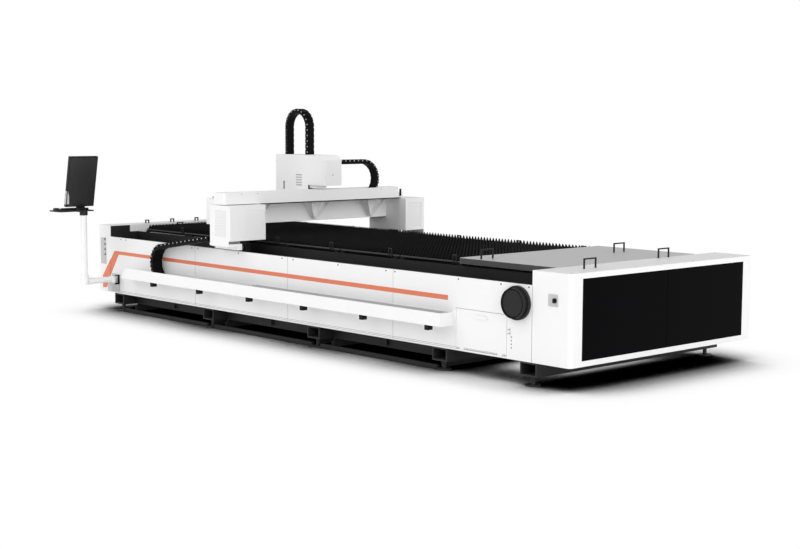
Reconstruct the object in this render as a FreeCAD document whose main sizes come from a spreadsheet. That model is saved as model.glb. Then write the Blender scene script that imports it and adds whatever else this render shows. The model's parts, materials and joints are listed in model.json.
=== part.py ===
import FreeCAD, Part
import math
import os
import re
import Sketcher

# Fiber laser cutting machine with a long open bed: two end cabinets, white side
# panels, a slat table in lift-out modules, slag trays under it, and a gantry with
# louvred foot covers, a carriage and a cutting head.  An operator console stands
# on a swing arm at the far front corner.
#
# Millimetres.  While it is drawn, x = 0 is the outer face of the near cabinet and x
# falls towards the far end, y = 0 is the front side panel and y grows towards the
# back, z = 0 is the floor.  Every finished piece is then moved so that the origin
# lies on the floor at the middle of the whole machine.

SIZES = {
    # body
    "body_width": 3000,
    "bed_length": 7763,
    "near_cabinet_length": 495,
    "far_cabinet_length": 278,
    "cabinet_top": 1155,
    "panel_top": 1007,
    "skirt_bottom": 242,
    "sheet_thick": 4,
    "panel_flange": 30,
    "panel_hem": 9,
    "panel_hem_height": 20,
    "cabinet_wall": 14,
    "cabinet_corner": 45,
    "lid_thick": 4,
    "glass_side_margin": 170,
    "glass_edge_margin": 55,
    "glass_thick": 8,
    "glass_ledge": 20,
    "glass_seam": 6,
    "plate_length": 1365,
    "plate_side": 362,
    "plate_top": 1158,
    "plate_skirt": 62,
    # frame under the body
    "leg_width": 222,
    "leg_wall": 18,
    "leg_bottom": 98,
    "near_leg": 538,
    "first_leg": 1790,
    "last_leg_inset": 207,
    "foot_radius": 78,
    "foot_height": 14,
    "foot_screw_radius": 24,
    "foot_sides": 20,
    "foot_inset": 75,
    "beam_bottom": 690,
    "beam_top": 955,
    "beam_inner": 432,
    "beam_wall": 10,
    "upright_width": 180,
    "upstand_thick": 8,
    "upstand_top": 1062,
    "stop_plate_top": 1150,
    "stop_plate_width": 310,
    "stop_plate_thick": 8,
    "runner_width": 45,
    "runner_height": 68,
    "runner_front": 180,
    "runner_back": 120,
    "runner_tab": 6,
    "front_bar_height": 42,
    "front_bar_place": 40,
    # rails on the bed
    "rail_place": 100,
    "rail_width": 34,
    "rail_height": 27,
    "rack_place": 200,
    "rack_width": 30,
    "rack_height": 20,
    # slat table
    "module_pitch": 1030,
    "module_gap": 6,
    "slat_side": 450,
    "frame_bar": 8,
    "frame_bottom": 1086,
    "slat_seat": 1106,
    "slat_root": 1118,
    "slat_tip": 1141,
    "slat_thick": 5,
    "slat_count": 8,
    "tooth_count": 10,
    "tooth_flat": 0.12,
    "hook_place": 154,
    "hook_width": 60,
    "hook_bar": 12,
    "hook_top": 1174,
    "back_hook_drop": 22,
    "hook_foot": 1076,
    # front cable tray and drag chain
    "tray_near": 1592,
    "tray_far": 7700,
    "tray_bottom": 494,
    "tray_height": 141,
    "tray_depth": 187,
    "tray_slant": 120,
    "block_first": 1815,
    "block_pitch": 1034,
    "block_width": 62,
    "block_depth": 45,
    "block_height": 46,
    "chain_thick": 58,
    "chain_width": 150,
    "chain_gap": 11,
    "chain_radius": 226,
    "chain_link": 92,
    "chain_fixed": 4930,
    "chain_bend": 6756,
    "chain_rise": 8.9,
    "chain_end": 5640,
    # things on the front panel
    "door_near": 830,
    "door_width": 720,
    "door_bottom": 265,
    "door_height": 419,
    "door_gap": 4,
    "hinge_radius": 4.5,
    "hinge_length": 60,
    "latch_place": 1183,
    "latch_width": 156,
    "latch_height": 36,
    "latch_drop": 45,
    "duct_place": 683,
    "duct_height": 817,
    "duct_flange_radius": 171,
    "duct_flange_thick": 34,
    "duct_radius": 150,
    "duct_bore": 138,
    "duct_reach": 92,
    "duct_way_half": 90,
    "switch_place": 222,
    "switch_height": 884,
    "switch_plate": 116,
    "switch_plate_thick": 10,
    "knob_radius": 24,
    "knob_length": 32,
    "knob_offset": 28,
    "knob_clearance": 0.4,
    "gas_place": 787,
    "gas_height": 500,
    "gas_reach": 30,
    "gas_radius": 9,
    # slag trays
    "slag_front": 205,
    "slag_depth": 2560,
    "slag_bottom": 98,
    "slag_height": 128,
    "slag_wall": 5,
    "slag_side_gap": 10,
    "slag_handle": 60,
    "hopper_drop": 60,
    "hopper_low": 300,
    "hopper_run": 520,
    "hopper_thick": 6,
    "hopper_gap": 8,
    "hopper_side": 10,
    "hopper_lug": 40,
    "running_gap": 0.4,
    "seat_gap": 0.3,
    # lifting handles on the lids
    "handle_length": 188,
    "handle_height": 105,
    "handle_bar": 14,
    "plate_handle_far": 1089,
    "plate_handle_near": 695,
    "lid_handle_near": 255,
    "lid_handle_far": 480,
    "plate_handle_front": 25,
    "plate_handle_back": 555,
    "lid_handle_front": 470,
    "lid_handle_back": 1950,
    "far_handle_height": 50,
    "far_handle_length": 62,
    "far_handle_place": 100,
    "far_handle_shift": 15,
    "far_handle_pitch": 415,
    # gantry
    "gantry_place": 5200,
    "cover_top": 1570,
    "cover_bottom": 1142,
    "cover_skirt": 1072,
    "cover_lap": 20,
    "skirt_cut": 35,
    "front_reach": 203,
    "front_inner": 330,
    "back_reach": 5,
    "beam_place": 5597,
    "beam_width": 338,
    "girder_bottom": 1310,
    "girder_top": 1630,
    "girder_wall": 12,
    "girder_front": 30,
    "girder_inset": 15,
    "girder_rail_end": 40,
    "leg_front": 45,
    "leg_base": 1030,
    "leg_base_thick": 26,
    "top_tray_place": 5322,
    "top_tray_width": 208,
    "top_tray_bottom": 1578,
    "top_tray_height": 142,
    "top_tray_inset": 358,
    "top_tray_corner": 30,
    "tray_cap_length": 60,
    "gusset_pitch": 962,
    "gusset_half": 175,
    "gusset_shift": 115,
    "gusset_foot": 20,
    "gusset_toe": 70,
    "gusset_rise": 25,
    "gusset_reach": 190,
    "bearing_length": 120,
    "bearing_width": 86,
    "louvre_count": 9,
    "louvre_depth": 10,
    "louvre_sheet": 3,
    "pinion_radius": 42,
    "pinion_teeth": 14,
    "tooth_height": 9,
    "pinion_width": 28,
    "tooth_clearance": 0.6,
    "motor_offset": 62,
    "motor_plate": 8,
    "gear_box_half": 52,
    "gear_box_depth": 66,
    "gear_box_low": 12,
    "gear_box_top": 120,
    "motor_half": 30,
    "motor_height": 150,
    "y_motor_half": 36,
    "y_motor_length": 90,
    # carriage and head
    "carriage_front": 1400,
    "carriage_width": 276,
    "carriage_near": 5350,
    "carriage_length": 1020,
    "carriage_top": 2151,
    "carriage_chamfer": 60,
    "carriage_overhang": 1763,
    "carriage_step": 5696,
    "carriage_low": 1350,
    "carriage_wall": 4,
    "y_rail_height": 24,
    "y_rail_width": 30,
    "y_chain_top": 2090,
    "y_chain_thick": 58,
    "y_chain_width": 107,
    "y_chain_link": 72,
    "y_chain_bend": 2111,
    "y_chain_fixed": 1180,
    "y_chain_place": 5392,
    "z_chain_radius": 210,
    "z_chain_thick": 58,
    "z_chain_width": 107,
    "z_chain_link": 66,
    "z_chain_top": 2750,
    "z_chain_near": 5758,
    "z_chain_inset": 50,
    "y_rack_place": 5730,
    "y_rack_width": 30,
    "saddle_thick": 26,
    "z_rail_height": 12,
    "z_rail_width": 16,
    "z_rail_spread": 50,
    "slide_thick": 24,
    "slide_half": 92,
    "slide_height": 250,
    "vent_place": 5822,
    "vent_width": 123,
    "vent_bottom": 1750,
    "vent_pitch": 33,
    "slit_place": 6188,
    "slit_width": 24,
    "belly_inset": 25,
    "head_place": 6190,
    "head_half": 42,
    "head_tip_radius": 24,
    "head_tip_height": 22,
    "head_neck_radius": 38,
    "head_body_low": 96,
    "head_height": 268,
    "nozzle_tip": 1300,
    "nozzle_length": 34,
    "nozzle_radius": 14,
    "nozzle_mouth": 4,
    "nozzle_cone": 19,
    # console
    "arm_pivot_x": 8085,
    "arm_pivot_y": 78,
    "arm_height": 440,
    "arm_radius": 43,
    "arm_length": 427,
    "pole_radius": 41,
    "pole_top": 1340,
    "sleeve_radius": 51,
    "sleeve_height": 140,
    "shelf_bottom": 1368,
    "shelf_thick": 16,
    "shelf_depth": 280,
    "shelf_width": 510,
    "shelf_near": 135,
    "shelf_shift": 20,
    "keyboard_width": 380,
    "keyboard_depth": 130,
    "mouse_length": 110,
    "mouse_width": 62,
    "mouse_height": 34,
    "bracket_plate": 10,
    "bracket_far": 131,
    "bracket_near": 40,
    "bracket_low": 69,
    "bracket_high": 65,
    "seat_half": 55,
    "seat_depth": 115,
    "arm_ring_length": 60,
    "arm_ring_lip": 5,
    "arm_tube_step": 3,
    "pin_radius": 15,
    "monitor_width": 420,
    "monitor_height": 680,
    "monitor_thick": 45,
    "monitor_tilt": 12,
    "monitor_back": 40,
    "monitor_bottom": 1433,
    "hinge_back": 30,
    "hinge_drop": 22,
    "hinge_half": 82,
    "screen_margin": 24,
    "screen_low": 150,
    "screen_depth": 6,
    "case_wall": 3,
}

doc = FreeCAD.newDocument("laser_cutting_machine")
sheet = doc.addObject("Spreadsheet::Sheet", "Sizes")
for row, (alias, number) in enumerate(SIZES.items(), start=1):
    sheet.set(f"A{row}", alias)
    sheet.set(f"B{row}", str(number))
    sheet.setAlias(f"B{row}", alias)
places = doc.addObject("App::VarSet", "Places")
doc.recompute()

PLACES = set()
ORIGIN = FreeCAD.Vector(0, 0, 0)
PIECES = []


def bound(text):
    """The expression with each named size or place read from the document."""
    def owner(match):
        word = match.group(0)
        if word in SIZES:
            return "Sizes." + word
        if word in PLACES:
            return "Places." + word
        return word
    return re.sub(r"[a-z][a-z_0-9]*", owner, str(text))


def name_place(name, text):
    """A named place, worked out from the sizes."""
    places.addProperty("App::PropertyFloat", name)
    places.setExpression(name, bound(text))
    places.recompute()
    PLACES.add(name)


def value(text):
    """The number that an expression comes to."""
    return float(places.evalExpression(bound(text)))


def tie(thing, prop, text):
    """Bind one property of an object to an expression."""
    thing.setExpression(prop, bound(text))


def tie_base(thing, x, y, z):
    """Bind an object's place to three expressions."""
    tie(thing, "Placement.Base.x", x)
    tie(thing, "Placement.Base.y", y)
    tie(thing, "Placement.Base.z", z)


# ---------------------------------------------------------------- shapes

TURNS = {
    "z": FreeCAD.Rotation(0, 0, 0, 1),
    "x": FreeCAD.Rotation(0.5, 0.5, 0.5, 0.5),
    "-y": FreeCAD.Rotation(FreeCAD.Vector(1, 0, 0), 90),
}


def block(x, y, z):
    """A box between two places along each axis."""
    thing = doc.addObject("Part::Box", "Block")
    tie(thing, "Length", f"({x[1]}) - ({x[0]})")
    tie(thing, "Width", f"({y[1]}) - ({y[0]})")
    tie(thing, "Height", f"({z[1]}) - ({z[0]})")
    tie_base(thing, x[0], y[0], z[0])
    return thing


def rod(along, at, length, radius):
    """A round bar from a point, along x, -y or z."""
    thing = doc.addObject("Part::Cylinder", "Rod")
    tie(thing, "Radius", radius)
    tie(thing, "Height", length)
    thing.Placement.Rotation = TURNS[along]
    tie_base(thing, *at)
    return thing


def cone(along, at, length, radius_low, radius_high):
    """A cone from a point, along x, -y or z."""
    thing = doc.addObject("Part::Cone", "Cone")
    tie(thing, "Radius1", radius_low)
    tie(thing, "Radius2", radius_high)
    tie(thing, "Height", length)
    thing.Placement.Rotation = TURNS[along]
    tie_base(thing, *at)
    return thing


def prism(sides, along, at, length, radius):
    """A bar with a regular many-sided section from a point, along x, -y or z."""
    thing = doc.addObject("Part::Prism", "Prism")
    tie(thing, "Polygon", sides)
    tie(thing, "Circumradius", radius)
    tie(thing, "Height", length)
    thing.Placement.Rotation = TURNS[along]
    tie_base(thing, *at)
    return thing


def fuse(*parts):
    """The parts as one solid."""
    thing = doc.addObject("Part::MultiFuse", "Joined")
    thing.Shapes = list(parts)
    thing.Refine = True
    return thing


def cut(base, *tools):
    """The base with every tool taken away."""
    for tool in tools:
        thing = doc.addObject("Part::Cut", "Cut")
        thing.Base = base
        thing.Tool = tool
        thing.Refine = True
        base = thing
    return base


def overlap(first, second):
    """What two parts have in common."""
    thing = doc.addObject("Part::MultiCommon", "Common")
    thing.Shapes = [first, second]
    return thing


def draw_outline(sketch, points):
    """A closed outline whose corners are held by their distances from the origin."""
    corners = [FreeCAD.Vector(value(a), value(b), 0) for a, b in points]
    count = len(corners)
    for i in range(count):
        line = Part.LineSegment(corners[i], corners[(i + 1) % count])
        sketch.addGeometry(line, False)
    for i in range(count):
        sketch.addConstraint(Sketcher.Constraint("Coincident", i, 2, (i + 1) % count, 1))
    for i, (a, b) in enumerate(points):
        for kind, text, axis in (("DistanceX", a, -2), ("DistanceY", b, -1)):
            if str(text) == "0":
                sketch.addConstraint(Sketcher.Constraint("PointOnObject", i, 1, axis))
                continue
            index = sketch.addConstraint(
                Sketcher.Constraint(kind, -1, 1, i, 1, value(text)))
            name = "%s%d" % (kind[-1].lower(), i)
            sketch.renameConstraint(index, name)
            tie(sketch, "Constraints." + name, text)


def new_sketch(body, points):
    """A sketch of the outline on the body's own ground plane."""
    sketch = body.newObject("Sketcher::SketchObject", "Outline")
    ground = [f for f in body.Origin.OriginFeatures if f.Role == "XY_Plane"][0]
    sketch.AttachmentSupport = [(ground, "")]
    sketch.MapMode = "FlatFace"
    draw_outline(sketch, points)
    return sketch


def pad(points, length, along, at):
    """An outline drawn out along x, -y or z from a point.

    Along x the outline's own axes are y and z, along -y they are x and z, and along
    z they are x and y.
    """
    body = doc.addObject("PartDesign::Body", "Profile")
    sketch = new_sketch(body, points)
    feature = body.newObject("PartDesign::Pad", "Pad")
    feature.Profile = sketch
    tie(feature, "Length", length)
    body.Placement.Rotation = TURNS[along]
    tie_base(body, *at)
    return body


def turned(points, at, down=False):
    """An outline of radius and height turned about an upright axis, or about -y."""
    body = doc.addObject("PartDesign::Body", "Turned")
    sketch = new_sketch(body, points)
    feature = body.newObject("PartDesign::Revolution", "Turn")
    feature.Profile = sketch
    feature.ReferenceAxis = (sketch, ["V_Axis"])
    feature.Angle = 360
    body.Placement.Rotation = FreeCAD.Rotation(FreeCAD.Vector(1, 0, 0), 180 if down else 90)
    tie_base(body, *at)
    return body


def shaped(shape):
    """A solid that is worked out in the source from the sheet's sizes."""
    thing = doc.addObject("Part::Feature", "Worked")
    thing.Shape = shape
    return thing


def piece(label, *parts):
    """A finished piece: its solids under one name, moved to the machine's origin."""
    thing = doc.addObject("Part::Compound", label)
    thing.Links = list(parts)
    thing.Label = label
    tie_base(thing, "-origin_x", "-origin_y", "0")
    PIECES.append(thing)


def frame_of(x, y, z, wall):
    """An open rectangular tube along y."""
    outer = block(x, y, z)
    inner = block((f"{x[0]} + {wall}", f"{x[1]} - {wall}"), (f"{y[0]} - 1", f"{y[1]} + 1"),
                  (f"{z[0]} + {wall}", f"{z[1]} - {wall}"))
    return cut(outer, inner)


# ---------------------------------------------------------------- places

name_place("bed_near", "-near_cabinet_length")
name_place("bed_far", "-near_cabinet_length - bed_length")
name_place("machine_far", "bed_far - far_cabinet_length")
name_place("middle", "body_width / 2")
name_place("leg_pitch", "(bed_length + near_cabinet_length - last_leg_inset - first_leg) / 3")
name_place("girder_back", "body_width - girder_inset")
name_place("top_tray_end", "body_width - top_tray_inset")
name_place("pole_x", "-arm_pivot_x")
name_place("pole_y", "-arm_pivot_y - arm_length")
name_place("reach_front", "pole_y - shelf_shift - shelf_width / 2")
name_place("reach_back", "body_width + back_reach")
name_place("origin_x", "machine_far / 2")
name_place("origin_y", "(reach_front + reach_back) / 2")


def mirrored(y):
    """A stretch across the machine, seen from the other side."""
    return (f"body_width - ({y[1]})", f"body_width - ({y[0]})")


# ---------------------------------------------------------------- side panels

def side_panel(y, hem, flange):
    """A folded side panel with its hem at the top and its return at the bottom."""
    along = ("bed_far", "bed_near")
    skin = block(along, y, ("skirt_bottom", "panel_top"))
    top = block(along, hem, ("panel_top - panel_hem_height", "panel_top"))
    low = block(along, flange, ("skirt_bottom", "skirt_bottom + sheet_thick"))
    return fuse(skin, top, low)


front_skin = ("0", "sheet_thick")
front_hem = ("0", "panel_hem")
front_flange = ("0", "panel_flange")
door_x = ("-door_near - door_width", "-door_near")
door_z = ("door_bottom", "door_bottom + door_height")
door_hole = block(door_x, ("-1", "sheet_thick + 1"), door_z)
duct_x = ("-duct_place - duct_way_half", "-duct_place + duct_way_half")
duct_z = ("duct_height - duct_way_half", "duct_height + duct_way_half")
duct_hole = block(duct_x, ("-1", "sheet_thick + 1"), duct_z)
piece("side_panel_front",
      cut(side_panel(front_skin, front_hem, front_flange), door_hole, duct_hole))
piece("side_panel_back",
      side_panel(mirrored(front_skin), mirrored(front_hem), mirrored(front_flange)))


# ---------------------------------------------------------------- near cabinet

def rounded_end(inset, z):
    """The near cabinet's plan, with round outer corners, drawn in by an inset."""
    radius = f"(cabinet_corner - {inset})"
    x = (f"bed_near + {inset}", f"-{inset}")
    y = (f"{inset}", f"body_width - {inset}")
    long_part = block((x[0], f"{x[1]} - {radius}"), y, z)
    end_part = block((x[0], x[1]), (f"{y[0]} + {radius}", f"{y[1]} - {radius}"), z)
    corners = [rod("z", ("-cabinet_corner", side, z[0]), f"({z[1]}) - ({z[0]})", radius)
               for side in ("cabinet_corner", "body_width - cabinet_corner")]
    return fuse(long_part, end_part, *corners)


lid_low = "cabinet_top - lid_thick"
glass_y = ("glass_side_margin", "body_width - glass_side_margin")
glass_z = ("skirt_bottom + glass_edge_margin", "cabinet_top - glass_edge_margin")
glass_seat = block(("-glass_thick", "1"), glass_y, glass_z)
ledge_y = (f"{glass_y[0]} + glass_ledge", f"{glass_y[1]} - glass_ledge")
ledge_z = (f"{glass_z[0]} + glass_ledge", f"{glass_z[1]} - glass_ledge")
window = block(("-cabinet_wall - 1", "1"), ledge_y, ledge_z)
shell = cut(rounded_end("0", ("skirt_bottom", lid_low)),
            rounded_end("cabinet_wall", ("skirt_bottom + cabinet_wall", f"{lid_low} + 1")),
            glass_seat, window)
mullion = block(("-cabinet_wall", "-glass_thick"),
                ("middle - glass_ledge", "middle + glass_ledge"), ledge_z)
piece("near_cabinet", fuse(shell, mullion))
piece("near_cabinet_lid", rounded_end("0", (lid_low, "cabinet_top")))
glass_x = ("-glass_thick", "0")
panes = [block(glass_x, (glass_y[0], "middle - glass_seam / 2"), glass_z),
         block(glass_x, ("middle + glass_seam / 2", glass_y[1]), glass_z)]
piece("glass_panels", *panes)


# ---------------------------------------------------------------- far cabinet

far_x = ("machine_far", "bed_far")
whole_y = ("0", "body_width")
far_shell = cut(block(far_x, whole_y, ("skirt_bottom", lid_low)),
                block(("machine_far + cabinet_wall", "bed_far - cabinet_wall"),
                      ("cabinet_wall", "body_width - cabinet_wall"),
                      ("skirt_bottom + cabinet_wall", f"{lid_low} + 1")))
strip = block(("machine_far + 40", "machine_far + 128"), ("-4", "0"),
              ("cabinet_top - 534", "cabinet_top - 170"))
piece("far_cabinet", fuse(far_shell, strip))
piece("far_cabinet_lid", block(far_x, whole_y, (lid_low, "cabinet_top")))


# ---------------------------------------------------------------- end cover plate

plate_x = ("bed_near - plate_length", "bed_near")
plate_y = ("plate_side", "body_width - plate_side")
plate_low = "plate_top - plate_skirt"
plate = cut(block(plate_x, plate_y, (plate_low, "plate_top")),
            block((f"{plate_x[0]} + sheet_thick", f"{plate_x[1]} - sheet_thick"),
                  (f"{plate_y[0]} + sheet_thick", f"{plate_y[1]} - sheet_thick"),
                  (f"{plate_low} - 1", "plate_top - sheet_thick")))
piece("end_cover_plate", plate)


# ---------------------------------------------------------------- handles

def bar_handle(x, y, z, height, length):
    """A square-bar handle in the shape of a bridge, lying along y."""
    outer = block((x, f"{x} + handle_bar"), (y, f"{y} + {length}"), (z, f"{z} + {height}"))
    inner = block((f"{x} - 1", f"{x} + handle_bar + 1"),
                  (f"{y} + handle_bar", f"{y} + {length} - handle_bar"),
                  (f"{z} - 1", f"{z} + {height} - handle_bar"))
    return cut(outer, inner)


handles = []
for x, y, z in (("bed_near - plate_handle_far", "plate_side + plate_handle_front", "plate_top"),
                ("bed_near - plate_handle_near", "body_width - plate_side - plate_handle_back",
                 "plate_top"),
                ("-lid_handle_near", "lid_handle_front", "cabinet_top"),
                ("-lid_handle_far", "lid_handle_back", "cabinet_top")):
    handles.append(bar_handle(x, y, z, "handle_height", "handle_length"))
for i in (-2, -1, 0, 1, 2):
    y = f"middle - far_handle_shift + {i} * far_handle_pitch - far_handle_length / 2"
    handles.append(bar_handle("bed_far - far_handle_place", y, "cabinet_top",
                              "far_handle_height", "far_handle_length"))
piece("bar_handles", *handles)


# ---------------------------------------------------------------- side beams

def leg_centre(index):
    """The middle of a cross beam along the machine."""
    if index == 0:
        return "-near_leg"
    return f"-first_leg - {index - 1} * leg_pitch"


LEGS = range(5)


def side_beam(flip):
    """The welded beam that carries one rail, on its five uprights."""
    def across(y):
        return mirrored(y) if flip else y
    along = ("bed_far", "bed_near")
    whole = ("sheet_thick", "beam_inner")
    tube = cut(block(along, across(whole), ("beam_bottom", "beam_top")),
               block(("bed_far - 1", "bed_near + 1"),
                     across(("sheet_thick + beam_wall", "beam_inner - beam_wall")),
                     ("beam_bottom + beam_wall", "beam_top - beam_wall")))
    upstand = block(along, across(("beam_inner - upstand_thick", "beam_inner")),
                    ("beam_top", "upstand_top"))
    stop_x = ("bed_far", "bed_far + stop_plate_thick")
    stops = [block(stop_x, across(("panel_hem + seat_gap", "stop_plate_width")),
                   ("beam_top", "stop_plate_top")),
             block(stop_x, across(("stop_plate_width", "beam_inner")), ("beam_top", "upstand_top"))]
    uprights = []
    for index in LEGS:
        middle = leg_centre(index)
        x = (f"{middle} - upright_width / 2", f"{middle} + upright_width / 2")
        if index == 0:
            x = (f"{middle} - upright_width / 2", "bed_near")
        y = across(("panel_flange + 4", "beam_inner - 30"))
        uprights.append(cut(block(x, y, ("skirt_bottom", "beam_bottom")),
                            block((f"{x[0]} + beam_wall", f"{x[1]} - beam_wall"),
                                  (f"{y[0]} + beam_wall", f"{y[1]} - beam_wall"),
                                  ("skirt_bottom - 1", "beam_bottom + 1"))))
    return fuse(tube, upstand, *stops), uprights


front_beam, front_uprights = side_beam(False)
duct_sleeve = block((f"{duct_x[0]} - sheet_thick", f"{duct_x[1]} + sheet_thick"),
                    ("sheet_thick + beam_wall / 2", "beam_inner - beam_wall / 2"),
                    (f"{duct_z[0]} - sheet_thick", f"{duct_z[1]} + sheet_thick"))
duct_way = block(duct_x, ("1", "beam_inner + 1"), duct_z)
piece("side_beam_front", cut(fuse(front_beam, duct_sleeve), duct_way), *front_uprights)
back_beam, back_uprights = side_beam(True)
piece("side_beam_back", back_beam, *back_uprights)


# ---------------------------------------------------------------- cross beams and feet

cross_beams = []
feet = []
for index in LEGS:
    middle_x = leg_centre(index)
    x = (f"{middle_x} - leg_width / 2", f"{middle_x} + leg_width / 2")
    cross_beams.append(frame_of(x, ("2", "body_width - 2"), ("leg_bottom", "skirt_bottom"), "leg_wall"))
    for y in ("foot_inset", "body_width - foot_inset"):
        pad_plate = prism("foot_sides", "z", (middle_x, y, "0"), "foot_height", "foot_radius")
        screw = prism("6", "z", (middle_x, y, "foot_height"), "leg_bottom - foot_height",
                      "foot_screw_radius")
        feet.append(fuse(pad_plate, screw))
piece("cross_beams", *cross_beams)
piece("levelling_feet", *feet)


# ---------------------------------------------------------------- rails on the bed

rails = []
for flip in (False, True):
    for place, width, height in (("rail_place", "rail_width", "rail_height"),
                                 ("rack_place", "rack_width", "rack_height")):
        y = (place, f"{place} + {width}")
        rails.append(block(("bed_far + 15", "bed_near - 15"), mirrored(y) if flip else y,
                           ("beam_top", f"beam_top + {height}")))
piece("bed_rails", *rails)


# ---------------------------------------------------------------- floor rails

floor_rails = []
for index in (1, 2, 3, 4):
    middle_x = leg_centre(index)
    far_edge = f"{middle_x} - leg_width / 2"
    near_edge = f"{middle_x} + leg_width / 2"
    sides = []
    if index < 4:
        sides.append(((f"{far_edge} - runner_width", far_edge), (f"{far_edge} - runner_tab", far_edge)))
    if index > 1:
        sides.append(((near_edge, f"{near_edge} + runner_width"), (near_edge, f"{near_edge} + runner_tab")))
    for runner_x, tab_x in sides:
        runner = block(runner_x, ("runner_front", "body_width - runner_back"), ("0", "runner_height"))
        tabs = [block(tab_x, (y, f"{y} + 40"), ("runner_height", "leg_bottom + 30"))
                for y in ("runner_front + 60", "body_width - runner_back - 100")]
        floor_rails.append(fuse(runner, *tabs))
for index in (1, 2, 3):
    bar_x = (f"{leg_centre(index + 1)} + foot_radius + seat_gap",
             f"{leg_centre(index)} - foot_radius - seat_gap")
    floor_rails.append(block(bar_x, ("front_bar_place", "front_bar_place + 40"), ("0", "front_bar_height")))
piece("floor_rails", *floor_rails)


# ---------------------------------------------------------------- slag trays

bays = []
for index in (1, 2, 3):
    near = f"({leg_centre(index)} - leg_width / 2 - slag_side_gap)"
    far = f"({leg_centre(index + 1)} + leg_width / 2 + slag_side_gap)"
    bays.append((far, near))
for number, (far, near) in enumerate(bays, start=1):
    y = ("slag_front", "slag_front + slag_depth")
    z = ("slag_bottom", "slag_bottom + slag_height")
    pan = cut(block((far, near), y, z),
              block((f"{far} + slag_wall", f"{near} - slag_wall"),
                    (f"{y[0]} + slag_wall", f"{y[1]} - slag_wall"),
                    (f"{z[0]} + slag_wall", f"{z[1]} + 1")))
    skids = [block((low, f"{low} + 25"), y, ("runner_height + running_gap", "slag_bottom"))
             for low in (far, f"{near} - 25")]
    centre = f"(({far}) + ({near})) / 2"
    grip_x = (f"{centre} - slag_handle / 2", f"{centre} + slag_handle / 2")
    grip = cut(block(grip_x, (f"{y[0]} - 34", y[0]), (f"{z[0]} + 30", f"{z[1]} - 12")),
               block((f"{grip_x[0]} - 1", f"{grip_x[1]} + 1"), (f"{y[0]} - 22", f"{y[0]} + 1"),
                     (f"{z[0]} + 42", f"{z[1]} - 24")))
    piece(f"slag_tray_{number}", fuse(pan, grip, *skids))


# ---------------------------------------------------------------- hopper plates

hopper_top = "beam_top - hopper_drop"
hopper_rise = f"({hopper_top} - hopper_low)"
hopper_depth = "body_width - 2 * beam_inner - 2 * hopper_side"
falls_near = [("0", hopper_rise), ("0", f"{hopper_rise} + hopper_thick"),
              ("hopper_run", "hopper_thick"), ("hopper_run", "0")]
falls_far = [("0", "0"), ("0", "hopper_thick"),
             ("hopper_run", f"{hopper_rise} + hopper_thick"), ("hopper_run", hopper_rise)]
hopper_plates = []
for far, near in bays:
    for low, outline in ((f"({far} + hopper_gap)", falls_near),
                         (f"({near} - hopper_gap - hopper_run)", falls_far)):
        hopper_plates.append(pad(outline, hopper_depth, "-y",
                                 (low, "body_width - beam_inner - hopper_side", "hopper_low")))
# each plate's ends hang on the beams by a lug
hopper_lugs = []
lug_y = ("beam_inner", "beam_inner + hopper_side")
for far, near in bays:
    for low in (f"({far} + hopper_gap)", f"({near} - hopper_gap - hopper_lug)"):
        for y in (lug_y, mirrored(lug_y)):
            hopper_lugs.append(block((low, f"{low} + hopper_lug"), y,
                                     (f"{hopper_top} - hopper_drop", hopper_top)))
piece("hopper_plates", *hopper_plates, *hopper_lugs)


# ---------------------------------------------------------------- slat table

def toothed_slat(x):
    """One saw-toothed slat across the machine."""
    start = value("slat_side + frame_bar")
    end = value("body_width - slat_side - frame_bar")
    count = int(value("tooth_count"))
    step = (end - start) / count
    seat = value("slat_seat")
    root = value("slat_root")
    tip = value("slat_tip")
    flat = value("tooth_flat") * step
    points = [(start, seat), (end, seat)]
    for i in range(count, 0, -1):
        high = start + i * step
        points.append((high, root))
        points.append((high - step / 2 + flat / 2, tip))
        points.append((high - step / 2 - flat / 2, tip))
    points.append((start, root))
    corners = [FreeCAD.Vector(x, y, z) for y, z in points]
    face = Part.Face(Part.makePolygon(corners + corners[:1]))
    return face.extrude(FreeCAD.Vector(value("slat_thick"), 0, 0))


def module_ends(number):
    """The near and far end of one slat module."""
    near = f"(bed_near - plate_length - module_gap - {number} * module_pitch)"
    return f"({near} - module_pitch + module_gap)", near


def lifting_hook(x, y, top):
    """A flat-bar bridge that a lifting sling takes hold of, lying along x."""
    outer = block((x, f"{x} + hook_width"), y, ("hook_foot", top))
    inner = block((f"{x} + hook_bar", f"{x} + hook_width - hook_bar"),
                  (f"{y[0]} - 1", f"{y[1]} + 1"), ("hook_foot - 1", f"{top} - hook_bar"))
    return cut(outer, inner)


hooks = []
for number in range(6):
    far, near = module_ends(number)
    y = ("slat_side", "body_width - slat_side")
    z = ("frame_bottom", "slat_seat")
    rim = cut(block((far, near), y, z),
              block((f"{far} + frame_bar", f"{near} - frame_bar"),
                    (f"{y[0]} + frame_bar", f"{y[1]} - frame_bar"), (f"{z[0]} - 1", f"{z[1]} + 1")))
    spine = block((far, near), ("middle - frame_bar / 2", "middle + frame_bar / 2"), z)
    seat_y = ("beam_inner - upstand_thick", "slat_side + frame_bar")
    seats = [block((low, f"{low} + 60"), side, ("upstand_top", "frame_bottom"))
             for low in (f"({far} + 20)", f"({near} - 80)")
             for side in (seat_y, mirrored(seat_y))]
    count = int(value("slat_count"))
    pitch = value("module_pitch") / count
    slats = []
    for i in range(count):
        x = value(near) - pitch * (i + 0.5) - value("slat_thick") / 2
        slats.append(shaped(toothed_slat(x)))
    hook_low = f"({near} - hook_place - hook_width / 2)"
    hook_y = ("slat_side - hook_bar", "slat_side")
    hooks.append(lifting_hook(hook_low, hook_y, "hook_top"))
    hooks.append(lifting_hook(hook_low, mirrored(hook_y), "(hook_top - back_hook_drop)"))
    piece(f"slat_module_{number + 1}", fuse(rim, spine, *seats), *slats)
piece("lifting_hooks", *hooks)


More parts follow.
